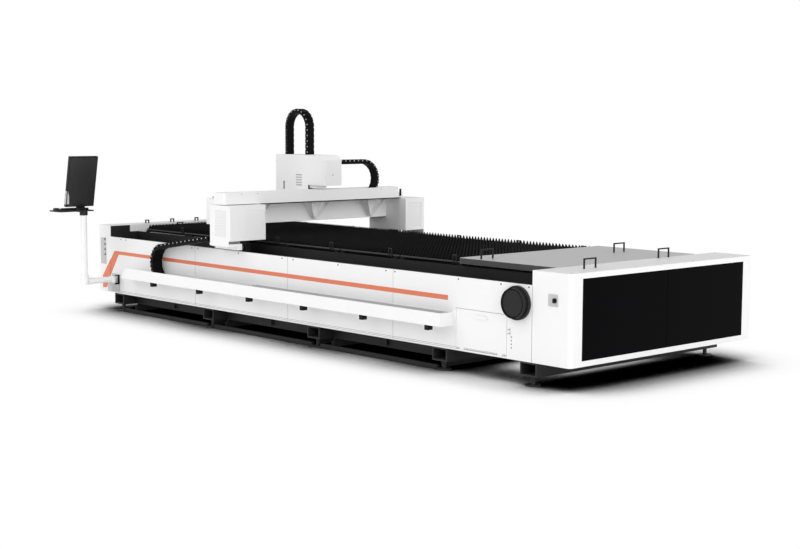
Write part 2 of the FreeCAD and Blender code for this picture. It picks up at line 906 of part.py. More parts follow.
# ---------------------------------------------------------------- front cable tray

tray_x = ("-tray_far", "-tray_near")
tray_z = ("tray_bottom", "tray_bottom + tray_height")
trough = cut(block(tray_x, ("-tray_depth", "0"), tray_z),
             block((f"{tray_x[0]} - 1", f"{tray_x[1]} - sheet_thick"),
                   ("-tray_depth + sheet_thick", "-sheet_thick"),
                   ("tray_bottom + sheet_thick", f"{tray_z[1]} + 1")))
slant = pad([("0", "0"), ("tray_slant", "tray_height + 2"), ("0", "tray_height + 2")],
            "tray_depth + 2", "-y", ("-tray_far - 1", "1", "tray_bottom + sheet_thick"))
blocks = []
for i in range(6):
    x = f"(-block_first - {i} * block_pitch)"
    blocks.append(block((f"{x} - block_width / 2", f"{x} + block_width / 2"),
                        ("-tray_depth + 8", "-tray_depth + 8 + block_depth"),
                        ("tray_bottom - block_height", "tray_bottom")))
piece("cable_tray", fuse(cut(trough, slant), *blocks))


# ---------------------------------------------------------------- drag chains

def chain_line(start, first, radius, turn, last, steps):
    """Places and directions along a drag chain's middle line.

    It runs straight, bends by the turn and runs straight again, in its own plane,
    where it starts along +u.  Positive turns go up towards +v.
    """
    line = []
    sign = 1 if turn > 0 else -1
    arc = radius * abs(turn)
    total = first + arc + last
    for i in range(steps + 1):
        s = total * i / steps
        if s <= first:
            line.append((start[0] + s, start[1], 0.0))
        elif s <= first + arc:
            angle = sign * (s - first) / radius
            u = start[0] + first + radius * math.sin(abs(angle))
            v = start[1] + sign * radius * (1 - math.cos(abs(angle)))
            line.append((u, v, angle))
        else:
            rest = s - first - arc
            u = start[0] + first + radius * math.sin(abs(turn)) + rest * math.cos(turn)
            v = start[1] + sign * radius * (1 - math.cos(abs(turn))) + rest * math.sin(turn)
            line.append((u, v, turn))
    return line


def link_chain(first, radius, turn, last, thick, link, start=(0.0, 0.0)):
    """The side outline of a drag chain: full links with a narrow waist between them."""
    length = first + radius * abs(turn) + last
    links = max(2, round(length / link))
    waist = 0.74 * thick
    body = 0.84
    upper = []
    lower = []
    line = chain_line(start, first, radius, turn, last, links * 100)
    for i in range(links):
        for share, size in ((0.0, waist), (0.08, thick), (0.08 + body, thick), (1.0, waist)):
            if share == 0.0 and i > 0:
                continue
            u, v, angle = line[min(round((i + share) * 100), links * 100)]
            normal = (-math.sin(angle), math.cos(angle))
            upper.append((u + normal[0] * size / 2, v + normal[1] * size / 2))
            lower.append((u - normal[0] * size / 2, v - normal[1] * size / 2))
    return upper + lower[::-1]


def drawn_chain(outline, to_point, width):
    """The chain's outline in its plane, drawn out to its width."""
    corners = [to_point(u, v) for u, v in outline]
    face = Part.Face(Part.makePolygon(corners + corners[:1]))
    return shaped(face.extrude(width))


x_run = value("chain_bend - chain_fixed")
x_radius = value("chain_radius")
x_rise = math.radians(value("chain_rise"))
x_turn = math.pi - x_rise
x_top = value("chain_bend - chain_end") - x_radius * math.sin(x_rise)
x_floor = value("tray_bottom + sheet_thick + seat_gap + chain_thick / 2")
x_side = value("-tray_depth + sheet_thick + chain_gap")
x_outline = link_chain(x_run, x_radius, x_turn, x_top / math.cos(x_rise),
                       value("chain_thick"), value("chain_link"))
piece("x_drag_chain", drawn_chain(
    x_outline,
    lambda u, v: FreeCAD.Vector(-value("chain_fixed") - u, x_side, x_floor + v),
    FreeCAD.Vector(0, value("chain_width"), 0)))


# ---------------------------------------------------------------- on the front panel

flange = turned([("duct_bore", "0"), ("duct_flange_radius", "0"),
                 ("duct_flange_radius", "duct_flange_thick"), ("duct_radius", "duct_flange_thick"),
                 ("duct_radius", "duct_reach"), ("duct_bore", "duct_reach")],
                ("-duct_place", "0", "duct_height"), down=True)
piece("dust_duct", flange)

leaf_x = (f"{door_x[0]} + door_gap", f"{door_x[1]} - door_gap")
leaf_z = (f"{door_z[0]} + door_gap", f"{door_z[1]} - door_gap")
leaf = cut(block(leaf_x, ("0", "22"), leaf_z),
           block((f"{leaf_x[0]} + sheet_thick", f"{leaf_x[1]} - sheet_thick"), ("sheet_thick", "23"),
                 (f"{leaf_z[0]} + sheet_thick", f"{leaf_z[1]} - sheet_thick")))
latch_x = ("-latch_place - latch_width / 2", "-latch_place + latch_width / 2")
latch_z = (f"{leaf_z[1]} - latch_drop - latch_height", f"{leaf_z[1]} - latch_drop")
latch_mid = f"(({latch_z[0]}) + ({latch_z[1]})) / 2"
latch_bore = rod("-y", ("-latch_place", "sheet_thick + 1", latch_mid), "sheet_thick + 2", "9")
knuckles = []
for x in (f"{door_x[0]} + 60", f"{door_x[1]} - 60 - hinge_length"):
    knuckles.append(rod("x", (x, "-hinge_radius - running_gap", "door_bottom - 3"),
                        "hinge_length", "hinge_radius"))
    knuckles.append(block((x, f"{x} + hinge_length"), ("-3", "0"), ("door_bottom - 3", "door_bottom + 22")))
piece("access_door", fuse(cut(leaf, latch_bore), *knuckles))
latch_plate = block(latch_x, ("-14", "-2"), latch_z)
latch_stem = rod("-y", ("-latch_place", "16", latch_mid), "18.5", "8.6")
piece("door_latch", fuse(latch_plate, latch_stem))

switch_x = "-switch_place"
switch_plate_x = (f"{switch_x} - switch_plate / 2", f"{switch_x} + switch_plate / 2")
switch_plate_z = ("switch_height - switch_plate / 2", "switch_height + switch_plate / 2")
knob_at = f"({switch_x} + knob_offset)"
knob_bore = rod("-y", (knob_at, "1", "switch_height"), "switch_plate_thick + 2", "9")
fittings = [prism("6", "-y", ("-gas_place", "0", z), "gas_reach", "gas_radius")
            for z in ("gas_height", "gas_height + 40")]
isolator = cut(block(switch_plate_x, ("-switch_plate_thick", "0"), switch_plate_z), knob_bore)
piece("panel_fittings", isolator, *fittings)
knob_face = "-switch_plate_thick - knob_clearance"
knob_disc = prism("foot_sides", "-y", (knob_at, knob_face, "switch_height"), "knob_length * 0.4",
                  "knob_radius")
knob = fuse(knob_disc,
            block((f"{knob_at} - 6", f"{knob_at} + 6"), ("-switch_plate_thick - knob_length", knob_face),
                  ("switch_height - knob_radius + 3", "switch_height + knob_radius - 3")),
            rod("-y", (knob_at, "-0.5", "switch_height"), "switch_plate_thick + 2", "8.6"))
piece("main_switch_knob", knob)


# ---------------------------------------------------------------- gantry

gantry_x = "-gantry_place"
leg_x = ("-beam_place - beam_width", "-beam_place")
cover_x = ("-beam_place", gantry_x)


def front_louvres(face_y, x, z):
    """Louvres in a face that looks along -y: sheets that fall outwards, one over the next."""
    pitch = f"(({z[1]}) - ({z[0]})) / louvre_count"
    outline = [("0", "0"), ("louvre_depth", pitch), ("louvre_depth", f"{pitch} + louvre_sheet"),
               ("0", "louvre_sheet")]
    return [pad(outline, f"({x[1]}) - ({x[0]})", "x", (x[0], face_y, f"({z[0]} + {pitch} * {i})"))
            for i in range(SIZES["louvre_count"])]


def side_louvres(face_x, y, z):
    """Louvres of the same kind in a face that looks along +x."""
    pitch = f"(({z[1]}) - ({z[0]})) / louvre_count"
    outline = [("0", pitch), ("louvre_depth", "0"), ("louvre_depth", "louvre_sheet"),
               ("0", f"{pitch} + louvre_sheet")]
    return [pad(outline, f"({y[1]}) - ({y[0]})", "-y",
                (f"{face_x} - louvre_depth", y[1], f"({z[0]} + {pitch} * {i})"))
            for i in range(SIZES["louvre_count"])]


def foot_cover(y):
    """A sheet housing over one gantry foot, open below and towards the beam."""
    z = ("cover_bottom", "cover_top")
    outer = block(cover_x, y, z)
    hollow = block((f"{cover_x[0]} - 1", f"{cover_x[1]} - sheet_thick"),
                   (f"{y[0]} + sheet_thick", f"{y[1]} - sheet_thick"),
                   ("cover_bottom - 1", "cover_top - sheet_thick"))
    return cut(outer, hollow)


front_y = ("-front_reach", "front_inner")
back_y = ("body_width - front_inner", "reach_back")
front_sheet = ("-front_reach", "-front_reach + sheet_thick")
back_sheet = ("reach_back - sheet_thick", "reach_back")
lap_x = ("-beam_place - cover_lap", "-beam_place")
lap = block(lap_x, front_sheet, ("cover_skirt", "cover_top"))
front_skirt = block((cover_x[0], f"{cover_x[1]} - skirt_cut"), front_sheet, ("cover_skirt", "cover_bottom"))
back_skirt = block(cover_x, back_sheet, ("cover_skirt", "cover_bottom"))
vent_z = ("cover_bottom + 32", "cover_top - 66")
front_vent_x = (f"{cover_x[0]} + 85", f"{cover_x[1]} - 86")
front_vent_y = ("40", "front_inner - 22")
back_vent_y = ("body_width - front_inner + 50", "reach_back - 50")
front_window = block(front_vent_x, ("-front_reach - 1", "-front_reach + sheet_thick + 1"), vent_z)
front_side_window = block((f"{cover_x[1]} - sheet_thick - 1", f"{cover_x[1]} + 1"), front_vent_y, vent_z)
back_side_window = block((f"{cover_x[1]} - sheet_thick - 1", f"{cover_x[1]} + 1"), back_vent_y, vent_z)
front_parts = [cut(foot_cover(front_y), front_window, front_side_window), front_skirt, lap]
front_parts += front_louvres("-front_reach", front_vent_x, vent_z)
front_parts += side_louvres(cover_x[1], front_vent_y, vent_z)
piece("front_foot_cover", fuse(*front_parts))
back_parts = [cut(foot_cover(back_y), back_side_window), back_skirt]
back_parts += side_louvres(cover_x[1], back_vent_y, vent_z)
piece("back_foot_cover", fuse(*back_parts))

girder_y = ("-girder_front", "girder_back")
girder = cut(block(leg_x, girder_y, ("girder_bottom", "girder_top")),
             block((f"{leg_x[0]} + girder_wall", f"{leg_x[1]} - girder_wall"),
                   ("-girder_front + girder_wall", "girder_back - girder_wall"),
                   ("girder_bottom + girder_wall", "girder_top - girder_wall")))
piece("gantry_beam", girder)

base_z = ("leg_base", "leg_base + leg_base_thick")


def gantry_leg(y):
    """A welded leg: a base plate over the rail and a hollow post under the beam."""
    post = cut(block(leg_x, y, (base_z[1], "girder_bottom")),
               block((f"{leg_x[0]} + girder_wall", f"{leg_x[1]} - girder_wall"),
                     (f"{y[0]} + girder_wall", f"{y[1]} - girder_wall"),
                     (base_z[1], "girder_bottom - girder_wall")))
    return fuse(post, block(leg_x, y, base_z))


leg_y = ("leg_front", "front_inner - sheet_thick")
chain_stop = "(-chain_end + chain_thick * 0.37 * sin(chain_rise) + seat_gap)"
hanger = fuse(block((chain_stop, f"{gantry_x} - 6"), ("-front_reach + 8", "-24"),
                    ("cover_skirt + 6", "cover_skirt + 34")),
              block((chain_stop, f"{gantry_x} - 6"), ("-94", "-24"),
                    ("leg_base + 4", "cover_skirt + 6")),
              block((f"{leg_x[1]} - 130", leg_x[1]), ("-24", "leg_front"), base_z),
              block((leg_x[1] + " - 60", f"{gantry_x} - 6"), ("-94", "-24"), base_z),
              block((chain_stop, "-beam_place"), ("-tray_depth + 10", "-24"),
                    ("cover_skirt + 6", "cover_bottom + 30")))
piece("gantry_legs", fuse(gantry_leg(leg_y), hanger), gantry_leg(mirrored(leg_y)))

bearings = []
for flip in (False, True):
    middle_y = "(rail_place + rail_width / 2)"
    for low in (leg_x[0] + " + 12", leg_x[1] + " - 12 - bearing_length"):
        y = (f"{middle_y} - bearing_width / 2", f"{middle_y} + bearing_width / 2")
        saddle = ("rail_place - running_gap", "rail_place + rail_width + running_gap")
        bearing = cut(block((low, f"{low} + bearing_length"), mirrored(y) if flip else y,
                            ("beam_top + 8", "leg_base")),
                      block((f"{low} - 1", f"{low} + bearing_length + 1"),
                            mirrored(saddle) if flip else saddle,
                            ("beam_top + 7", "beam_top + rail_height + running_gap")))
        bearings.append(bearing)
piece("bearing_blocks", *bearings)

top_x = ("-top_tray_place - top_tray_width", "-top_tray_place")
top_y = ("-front_reach", "top_tray_end")
top_z = ("top_tray_bottom", "top_tray_bottom + top_tray_height")


def tray_plan(inset, z):
    """The beam tray's plan, with one round corner at the front, drawn in by an inset."""
    radius = f"(top_tray_corner - {inset})"
    x = (f"{top_x[0]} + {inset}", f"{top_x[1]} - {inset}")
    y = (f"{top_y[0]} + {inset}", f"{top_y[1]} - {inset}")
    corner = (f"{x[1]} - {radius}", f"{y[0]} + {radius}")
    return fuse(block((x[0], corner[0]), y, z), block(x, (corner[1], y[1]), z),
                rod("z", (*corner, z[0]), f"({z[1]}) - ({z[0]})", radius))


top_trough = cut(tray_plan("0", top_z),
                 tray_plan("sheet_thick", (f"{top_z[0]} + sheet_thick", f"{top_z[1]} + 1")))


def plate_between(corners, offset):
    """A flat plate: the four-cornered face between the corners, made as thick as the offset."""
    face = Part.Face(Part.makePolygon(corners + corners[:1]))
    return shaped(face.extrude(offset))


def gusset(middle_y):
    """A folded bracket under the tray: a point at the beam's foot, two flanges that open upwards.

    Where it would run into the front foot cover, its flange starts beside the cover.
    """
    y = value(middle_y)
    half = value("gusset_half")
    wings = {-1: max(y - half, value("front_inner + 2")), 1: y + half}
    foot = value("gusset_foot")
    back = value("-beam_place")
    reach = value("gusset_reach")
    top = value("top_tray_bottom")
    low = value("girder_bottom + gusset_rise")
    toe = value("gusset_toe")
    thick = value("sheet_thick")
    web = plate_between([FreeCAD.Vector(back, wings[-1], top), FreeCAD.Vector(back, wings[1], top),
                         FreeCAD.Vector(back, y + foot, low), FreeCAD.Vector(back, y - foot, low)],
                        FreeCAD.Vector(thick, 0, 0))
    flanges = []
    for side, wing in wings.items():
        corners = [FreeCAD.Vector(back + thick, wing, top), FreeCAD.Vector(back + reach, wing, top),
                   FreeCAD.Vector(back + toe, y + side * foot, low),
                   FreeCAD.Vector(back + thick, y + side * foot, low)]
        flanges.append(plate_between(corners, FreeCAD.Vector(0, -side * thick * 1.5, 0)))
    return fuse(web, *flanges)


gussets = [gusset(f"middle - gusset_shift + {i} * gusset_pitch") for i in (-1, 0, 1)]
end_cap = block((f"{top_x[1]} - 60", f"{top_x[1]} - 8"),
                ("top_tray_end", "top_tray_end + tray_cap_length"),
                ("top_tray_bottom + 12", "top_tray_bottom + 72"))
piece("beam_cable_tray", fuse(top_trough, end_cap), *gussets)

y_rail_span = ("girder_rail_end", "girder_back - girder_rail_end")
y_rails = [block((f"{leg_x[0]} + 30", f"{leg_x[0]} + 30 + y_rail_width"), y_rail_span,
                 ("girder_top", "girder_top + y_rail_height")),
           block((f"{leg_x[0]} - y_rail_height", leg_x[0]), y_rail_span,
                 ("girder_bottom + 30", "girder_bottom + 30 + y_rail_width")),
           block(("-y_rack_place - y_rack_width", "-y_rack_place"), y_rail_span,
                 ("girder_top", "girder_top + rack_height"))]
piece("beam_rails", *y_rails)

y_first = value("y_chain_bend - y_chain_fixed")
y_last = value("y_chain_bend - carriage_front - carriage_width - seat_gap")
y_low = value("top_tray_bottom + sheet_thick + seat_gap + y_chain_thick / 2")
y_radius = (value("y_chain_top - y_chain_thick / 2") - y_low) / 2
y_outline = link_chain(y_first, y_radius, math.pi, y_last,
                       value("y_chain_thick"), value("y_chain_link"))
piece("y_drag_chain", drawn_chain(
    y_outline,
    lambda u, v: FreeCAD.Vector(-value("y_chain_place"), value("y_chain_fixed") + u, y_low + v),
    FreeCAD.Vector(-value("y_chain_width"), 0, 0)))


def gear(to_point, width):
    """A straight-toothed pinion, drawn in its own plane and given its width."""
    teeth = int(value("pinion_teeth"))
    outer = value("pinion_radius")
    root = outer - value("tooth_height")
    points = []
    for i in range(teeth):
        for share, radius in ((0.0, root), (0.22, outer), (0.48, outer), (0.7, root)):
            angle = 2 * math.pi * (i + share) / teeth
            points.append(to_point(radius * math.cos(angle), radius * math.sin(angle)))
    face = Part.Face(Part.makePolygon(points + points[:1]))
    return shaped(face.extrude(width))


pinion_x = f"({leg_x[1]} + motor_offset)"
pinion_z = "(beam_top + rack_height + pinion_radius + tooth_clearance)"
pinion_y = ("rack_place + tooth_clearance", "rack_place + tooth_clearance + pinion_width")
motor_plate_y = ("rack_place + rack_width + 4", "rack_place + rack_width + 4 + motor_plate")


def x_drive(flip):
    """The gear box and motor that hang beside one leg on a plate."""
    def across(y):
        return mirrored(y) if flip else y
    gear_box_y = (motor_plate_y[1], f"{motor_plate_y[1]} + gear_box_depth")
    motor_y = (f"{motor_plate_y[1]} + gear_box_depth / 2 - motor_half",
               f"{motor_plate_y[1]} + gear_box_depth / 2 + motor_half")
    plate = block((leg_x[1], f"{leg_x[1]} + motor_offset * 2"), across(motor_plate_y),
                  ("beam_top + 8", "cover_bottom + 40"))
    gear_box = block((f"{pinion_x} - gear_box_half", f"{pinion_x} + gear_box_half"),
                     across(gear_box_y), ("beam_top + gear_box_low", "beam_top + gear_box_top"))
    motor = block((f"{pinion_x} - motor_half", f"{pinion_x} + motor_half"), across(motor_y),
                  ("beam_top + gear_box_top", "beam_top + gear_box_top + motor_height"))
    return fuse(plate, gear_box, motor)


piece("x_drive_motors", x_drive(False), x_drive(True))
pinions = []
for side in (pinion_y, mirrored(pinion_y)):
    low = value(side[0])
    wheel = gear(lambda u, v: FreeCAD.Vector(value(pinion_x) + u, low, value(pinion_z) + v),
                 FreeCAD.Vector(0, value("pinion_width"), 0))
    pinions.append(wheel)
shaft_end = f"({motor_plate_y[0]} - seat_gap)"
stub_span = f"{shaft_end} - ({pinion_y[1]})"
stubs = [rod("-y", (pinion_x, shaft_end, pinion_z), stub_span, "12"),
         rod("-y", (pinion_x, mirrored(pinion_y)[0], pinion_z), stub_span, "12")]
piece("drive_pinions", *pinions, *stubs)


# ---------------------------------------------------------------- carriage

box_x = ("-carriage_near - carriage_length", "-carriage_near")
box_y = ("carriage_front", "carriage_front + carriage_width")
carriage_middle = "(carriage_front + carriage_width / 2)"
saddle_low = "(girder_top + y_rail_height + 12)"
saddle_top = f"({saddle_low} + saddle_thick)"
face_x = (f"{leg_x[0]} - y_rail_height - 16 - saddle_thick", f"{leg_x[0]} - y_rail_height - 16")


def hood_outline(inset, open_by):
    """The carriage cover seen from the front: a deep far part, a near part that overhangs."""
    far, near = box_x
    back = f"({face_x[1]} + {open_by})"
    step = "(-carriage_step)"
    low = f"({saddle_top} - {open_by})"
    corner = f"carriage_chamfer - {inset} / 2" if inset != "0" else "carriage_chamfer"
    points = [(f"{far} + {inset}", f"carriage_low - {open_by}"), (back, f"carriage_low - {open_by}"),
              (back, low), (f"{step} + {inset}", low), (f"{step} + {inset}", f"carriage_overhang + {inset}"),
              (f"{near} - {inset}", f"carriage_overhang + {inset}"),
              (f"{near} - {inset}", f"carriage_top - {inset} - ({corner})"),
              (f"{near} - {inset} - ({corner})", f"carriage_top - {inset}"),
              (f"{far} + {inset}", f"carriage_top - {inset}")]
    return points


hood = pad(hood_outline("0", "0"), "carriage_width", "-y", ("0", box_y[1], "0"))
hollow = pad(hood_outline("carriage_wall", "1"), "carriage_width - 2 * carriage_wall", "-y",
             ("0", f"{box_y[1]} - carriage_wall", "0"))
through_front = ("carriage_front - 1", "carriage_front + carriage_wall + 1")
vent = [block(("-vent_place - vent_width", "-vent_place"), through_front,
              (f"vent_bottom + {i} * vent_pitch", f"vent_bottom + {i} * vent_pitch + vent_pitch / 2"))
        for i in range(5)]
slit = block(("-slit_place - slit_width", "-slit_place"), through_front,
             (f"{saddle_top} + 6", "vent_bottom + 52"))
z_far_x = "(-z_chain_near - z_chain_thick / 2 - 2 * z_chain_radius)"
z_chain_y = ("carriage_front + z_chain_inset", "carriage_front + z_chain_inset + z_chain_width")
chain_slot = block((f"{z_far_x} - z_chain_thick / 2 - 5", f"{z_far_x} + z_chain_thick / 2 + 5"),
                   (f"{z_chain_y[0]} - 5", f"{z_chain_y[1]} + 5"), ("carriage_top - 10", "carriage_top + 10"))
belly = block(("-carriage_step", "-carriage_near - carriage_wall"),
              ("carriage_front + belly_inset", "carriage_front + belly_inset + carriage_wall"),
              (f"{top_z[1]} + carriage_wall", "carriage_overhang + carriage_wall"))
piece("carriage_cover", fuse(cut(hood, hollow, slit, chain_slot, *vent), belly))

plate_y = (f"{box_y[0]} + carriage_wall", f"{box_y[1]} - carriage_wall")
face_plate = block(face_x, plate_y, ("girder_bottom", saddle_top))
top_plate = block((face_x[0], f"{leg_x[1]} - 8"), plate_y, (saddle_low, saddle_top))
rack_x = ("-y_rack_place - y_rack_width", "-y_rack_place")
gear_window = block((f"{rack_x[0]} - 6", f"{rack_x[1]} + 6"),
                    (f"{carriage_middle} - pinion_radius - 4", f"{carriage_middle} + pinion_radius + 4"),
                    (f"{saddle_low} - 1", f"{saddle_top} + 1"))
top_rail_x = (f"{leg_x[0]} + 30", f"{leg_x[0]} + 30 + y_rail_width")
side_rail_z = ("girder_bottom + 30", "girder_bottom + 30 + y_rail_width")
car_spans = [(f"{plate_y[0]} + 10", f"{plate_y[0]} + 90"), (f"{plate_y[1]} - 90", f"{plate_y[1]} - 10")]
cars = []
for span in car_spans:
    wide = (f"{span[0]} - 1", f"{span[1]} + 1")
    cars.append(cut(
        block((f"{top_rail_x[0]} - 15", f"{top_rail_x[1]} + 15"), span, ("girder_top + 5", saddle_low)),
        block((f"{top_rail_x[0]} - running_gap", f"{top_rail_x[1]} + running_gap"), wide,
              ("girder_top + 4", "girder_top + y_rail_height + running_gap"))))
    cars.append(cut(
        block((face_x[1], f"{leg_x[0]} - 5"), span, (f"{side_rail_z[0]} - 15", f"{side_rail_z[1]} + 15")),
        block((f"{leg_x[0]} - y_rail_height - running_gap", f"{leg_x[0]} - 4"), wide,
              (f"{side_rail_z[0]} - running_gap", f"{side_rail_z[1]} + running_gap"))))
z_rail_starts = (f"{carriage_middle} - z_rail_spread - z_rail_width",
                 f"{carriage_middle} + z_rail_spread")
z_rails = [block((f"{face_x[0]} - z_rail_height", face_x[0]), (y, f"{y} + z_rail_width"),
                 ("carriage_low + 20", f"{saddle_top} - 4"))
           for y in z_rail_starts]
piece("carriage_plate", fuse(cut(fuse(face_plate, top_plate), gear_window), *cars, *z_rails))

y_drive_box = block((f"{rack_x[0]} - 116", f"{rack_x[0]} - 6"),
                    (f"{carriage_middle} - 38", f"{carriage_middle} + 38"),
                    (saddle_top, f"{saddle_top} + 84"))
y_drive_body = block((f"{rack_x[0]} - 116 - y_motor_length", f"{rack_x[0]} - 116"),
                     (f"{carriage_middle} - y_motor_half", f"{carriage_middle} + y_motor_half"),
                     (f"{saddle_top} + 42 - y_motor_half", f"{saddle_top} + 42 + y_motor_half"))
piece("y_drive_motor", fuse(y_drive_box, y_drive_body))
y_pinion_z = "(girder_top + rack_height + pinion_radius + tooth_clearance)"
y_wheel = gear(lambda u, v: FreeCAD.Vector(value(f"{rack_x[0]} + 1"), value(carriage_middle) + u,
                                           value(y_pinion_z) + v),
               FreeCAD.Vector(value("pinion_width"), 0, 0))
y_stub = prism("6", "x", (f"{rack_x[0]} - 6 + seat_gap", carriage_middle, f"{saddle_top} + 14"),
               "7 - seat_gap", "10")
piece("y_drive_pinion", y_wheel, y_stub)

z_first = value("z_chain_top - z_chain_thick / 2 - z_chain_radius - carriage_top - seat_gap")
z_outline = link_chain(z_first, value("z_chain_radius"), math.pi, z_first,
                       value("z_chain_thick"), value("z_chain_link"))
z_start = FreeCAD.Vector(value("-z_chain_near - z_chain_thick / 2"), value(z_chain_y[0]),
                         value("carriage_top + seat_gap"))
piece("z_drag_chain", drawn_chain(
    z_outline,
    lambda u, v: FreeCAD.Vector(z_start.x - v, z_start.y, z_start.z + u),
    FreeCAD.Vector(0, value("z_chain_width"), 0)))


# ---------------------------------------------------------------- head

slide_x = (f"{face_x[0]} - z_rail_height - slide_thick", f"{face_x[0]} - 3")
slide_y = (f"{carriage_middle} - slide_half", f"{carriage_middle} + slide_half")
slide_z = ("carriage_low + 60", "carriage_low + 60 + slide_height")
slide_plate = block(slide_x, slide_y, slide_z)
grooves = [block((f"{face_x[0]} - z_rail_height - running_gap", f"{face_x[0]} + 1"),
                 (f"{y} - running_gap", f"{y} + z_rail_width + running_gap"),
                 (f"{slide_z[0]} - 1", f"{slide_z[1]} + 1"))
           for y in z_rail_starts]
head_x = "(-head_place)"
arm_block = block((f"{head_x} + head_half", slide_x[0]),
                  (f"{carriage_middle} - 36", f"{carriage_middle} + 36"),
                  (f"{slide_z[0]} + 60", f"{slide_z[0]} + 150"))
riser_x = (f"{z_far_x} - 3", f"{z_far_x} + 3")
riser_foot = block((riser_x[0], slide_x[0]), (z_chain_y[0], z_chain_y[1]), (f"{slide_z[1]} - 20", slide_z[1]))
riser = block(riser_x, z_chain_y, (f"{slide_z[1]} - 20", "carriage_top"))
piece("head_slide", fuse(cut(slide_plate, *grooves), arm_block, riser_foot, riser))

head_low = "(nozzle_tip + nozzle_length)"
head_tip = rod("z", (head_x, carriage_middle, head_low), "head_tip_height", "head_tip_radius")
head_neck = rod("z", (head_x, carriage_middle, f"{head_low} + head_tip_height"),
                "head_body_low - head_tip_height", "head_neck_radius")
head_body = block((f"{head_x} - head_half", f"{head_x} + head_half"),
                  (f"{carriage_middle} - head_half", f"{carriage_middle} + head_half"),
                  (f"{head_low} + head_body_low", f"{head_low} + head_height"))
piece("cutting_head", fuse(head_tip, head_neck, head_body))
nozzle_cone = cone("z", (head_x, carriage_middle, "nozzle_tip"), "nozzle_cone",
                   "nozzle_mouth", "nozzle_radius")
nozzle_nut = prism("6", "z", (head_x, carriage_middle, "nozzle_tip + nozzle_cone"),
                   "nozzle_length - nozzle_cone", "nozzle_radius")
piece("cutting_nozzle", fuse(nozzle_cone, nozzle_nut))


# ---------------------------------------------------------------- console

pivot_y = "(-arm_pivot_y)"
seat_z = "(arm_height - arm_radius)"
wall_plate = block(("pole_x - bracket_far", "pole_x + bracket_near"), ("-bracket_plate", "0"),
                   ("arm_height - bracket_low", "arm_height + bracket_high"))
seat_block = block(("pole_x - seat_half", "pole_x + seat_half"), (f"{pivot_y} - arm_radius", "0"),
                   (f"{seat_z} - seat_depth", seat_z))
pivot_pin = rod("z", ("pole_x", pivot_y, seat_z), "arm_radius * 2 + 6", "pin_radius")
piece("console_bracket", fuse(wall_plate, seat_block, pivot_pin))

boss_z = f"({seat_z} + seat_gap)"
boss = rod("z", ("pole_x", pivot_y, boss_z), "arm_radius * 2 - seat_gap", "arm_radius")
arm_tube = rod("-y", ("pole_x", f"{pivot_y} - arm_radius + 8", "arm_height"),
               "arm_length - arm_radius - sleeve_radius + 16", "arm_radius - arm_tube_step")
arm_ring = rod("-y", ("pole_x", "pole_y + sleeve_radius + arm_ring_length - 8", "arm_height"),
               "arm_ring_length", "arm_radius + arm_ring_lip")
sleeve = rod("z", ("pole_x", "pole_y", seat_z), "sleeve_height", "sleeve_radius")
pin_hole = rod("z", ("pole_x", pivot_y, f"{seat_z} - 1"), "arm_radius * 2 + 2", "pin_radius + running_gap")
pole_seat = "(arm_height - 8)"
pole_hole = rod("z", ("pole_x", "pole_y", pole_seat), "sleeve_height", "pole_radius + running_gap")
piece("console_arm", cut(fuse(boss, arm_tube, arm_ring, sleeve), pin_hole, pole_hole))

hinge_x = "(pole_x - hinge_back)"
hinge_z = "(monitor_bottom - hinge_drop)"
tube = cut(rod("z", ("pole_x", "pole_y", f"{pole_seat} + seat_gap"),
               f"pole_top - {pole_seat} - seat_gap", "pole_radius"),
           rod("z", ("pole_x", "pole_y", f"{pole_seat} + seat_gap + 4"),
               f"pole_top - {pole_seat} - 20", "pole_radius - 3"))
neck = rod("z", ("pole_x", "pole_y", "pole_top"), "shelf_bottom + shelf_thick - pole_top", "pole_radius")
top_z = "(shelf_bottom + shelf_thick)"
cap_plate = block((f"{hinge_x} - 24", "pole_x + pole_radius + 8"),
                  ("pole_y - hinge_half", "pole_y + hinge_half"), (top_z, f"{top_z} + 14"))
lugs = [block((f"{hinge_x} - 18", f"{hinge_x} + 18"), span, (f"{top_z} + 14", f"{hinge_z} + 14"))
        for span in (("pole_y - hinge_half", "pole_y - hinge_half + 12"),
                     ("pole_y + hinge_half - 12", "pole_y + hinge_half"))]
lug_hole = rod("-y", (hinge_x, "pole_y + hinge_half + 1", hinge_z), "2 * hinge_half + 2", "8 + running_gap")
piece("console_pole", fuse(tube, neck))

shelf_x = ("pole_x - shelf_near - shelf_depth", "pole_x - shelf_near")
shelf_y = ("pole_y - shelf_shift - shelf_width / 2", "pole_y - shelf_shift + shelf_width / 2")
shelf_z = ("shelf_bottom", "shelf_bottom + shelf_thick")
clamp = rod("z", ("pole_x", "pole_y", "pole_top - 12"),
            "shelf_bottom + shelf_thick - pole_top + 12", "sleeve_radius + 2")
shelf_neck = block((shelf_x[1], "pole_x"), ("pole_y - 38", "pole_y + 38"),
                   ("shelf_bottom", "shelf_bottom + 10"))
pole_bore = rod("z", ("pole_x", "pole_y", "pole_top - 20"), f"{top_z} - pole_top + 20", "pole_radius")
shelf_parts = fuse(cut(fuse(block(shelf_x, shelf_y, shelf_z), clamp, shelf_neck), pole_bore),
                   cap_plate, *lugs)
piece("keyboard_shelf", cut(shelf_parts, lug_hole))
keys_x = (f"{shelf_x[0]} + 60", f"{shelf_x[0]} + 60 + keyboard_depth")
keys_y = (f"{shelf_y[1]} - 30 - keyboard_width", f"{shelf_y[1]} - 30")
piece("keyboard", pad([("0", "0"), ("keyboard_depth", "0"), ("keyboard_depth", "20"),
                       ("keyboard_depth - 14", "24"), ("8", "14"), ("0", "8")],
                      "keyboard_width", "-y", (keys_x[0], keys_y[1], shelf_z[1])))
mouse_x = f"({shelf_x[0]} + 55)"
mouse_y = (f"{shelf_y[0]} + 11", f"{shelf_y[0]} + 11 + mouse_width")
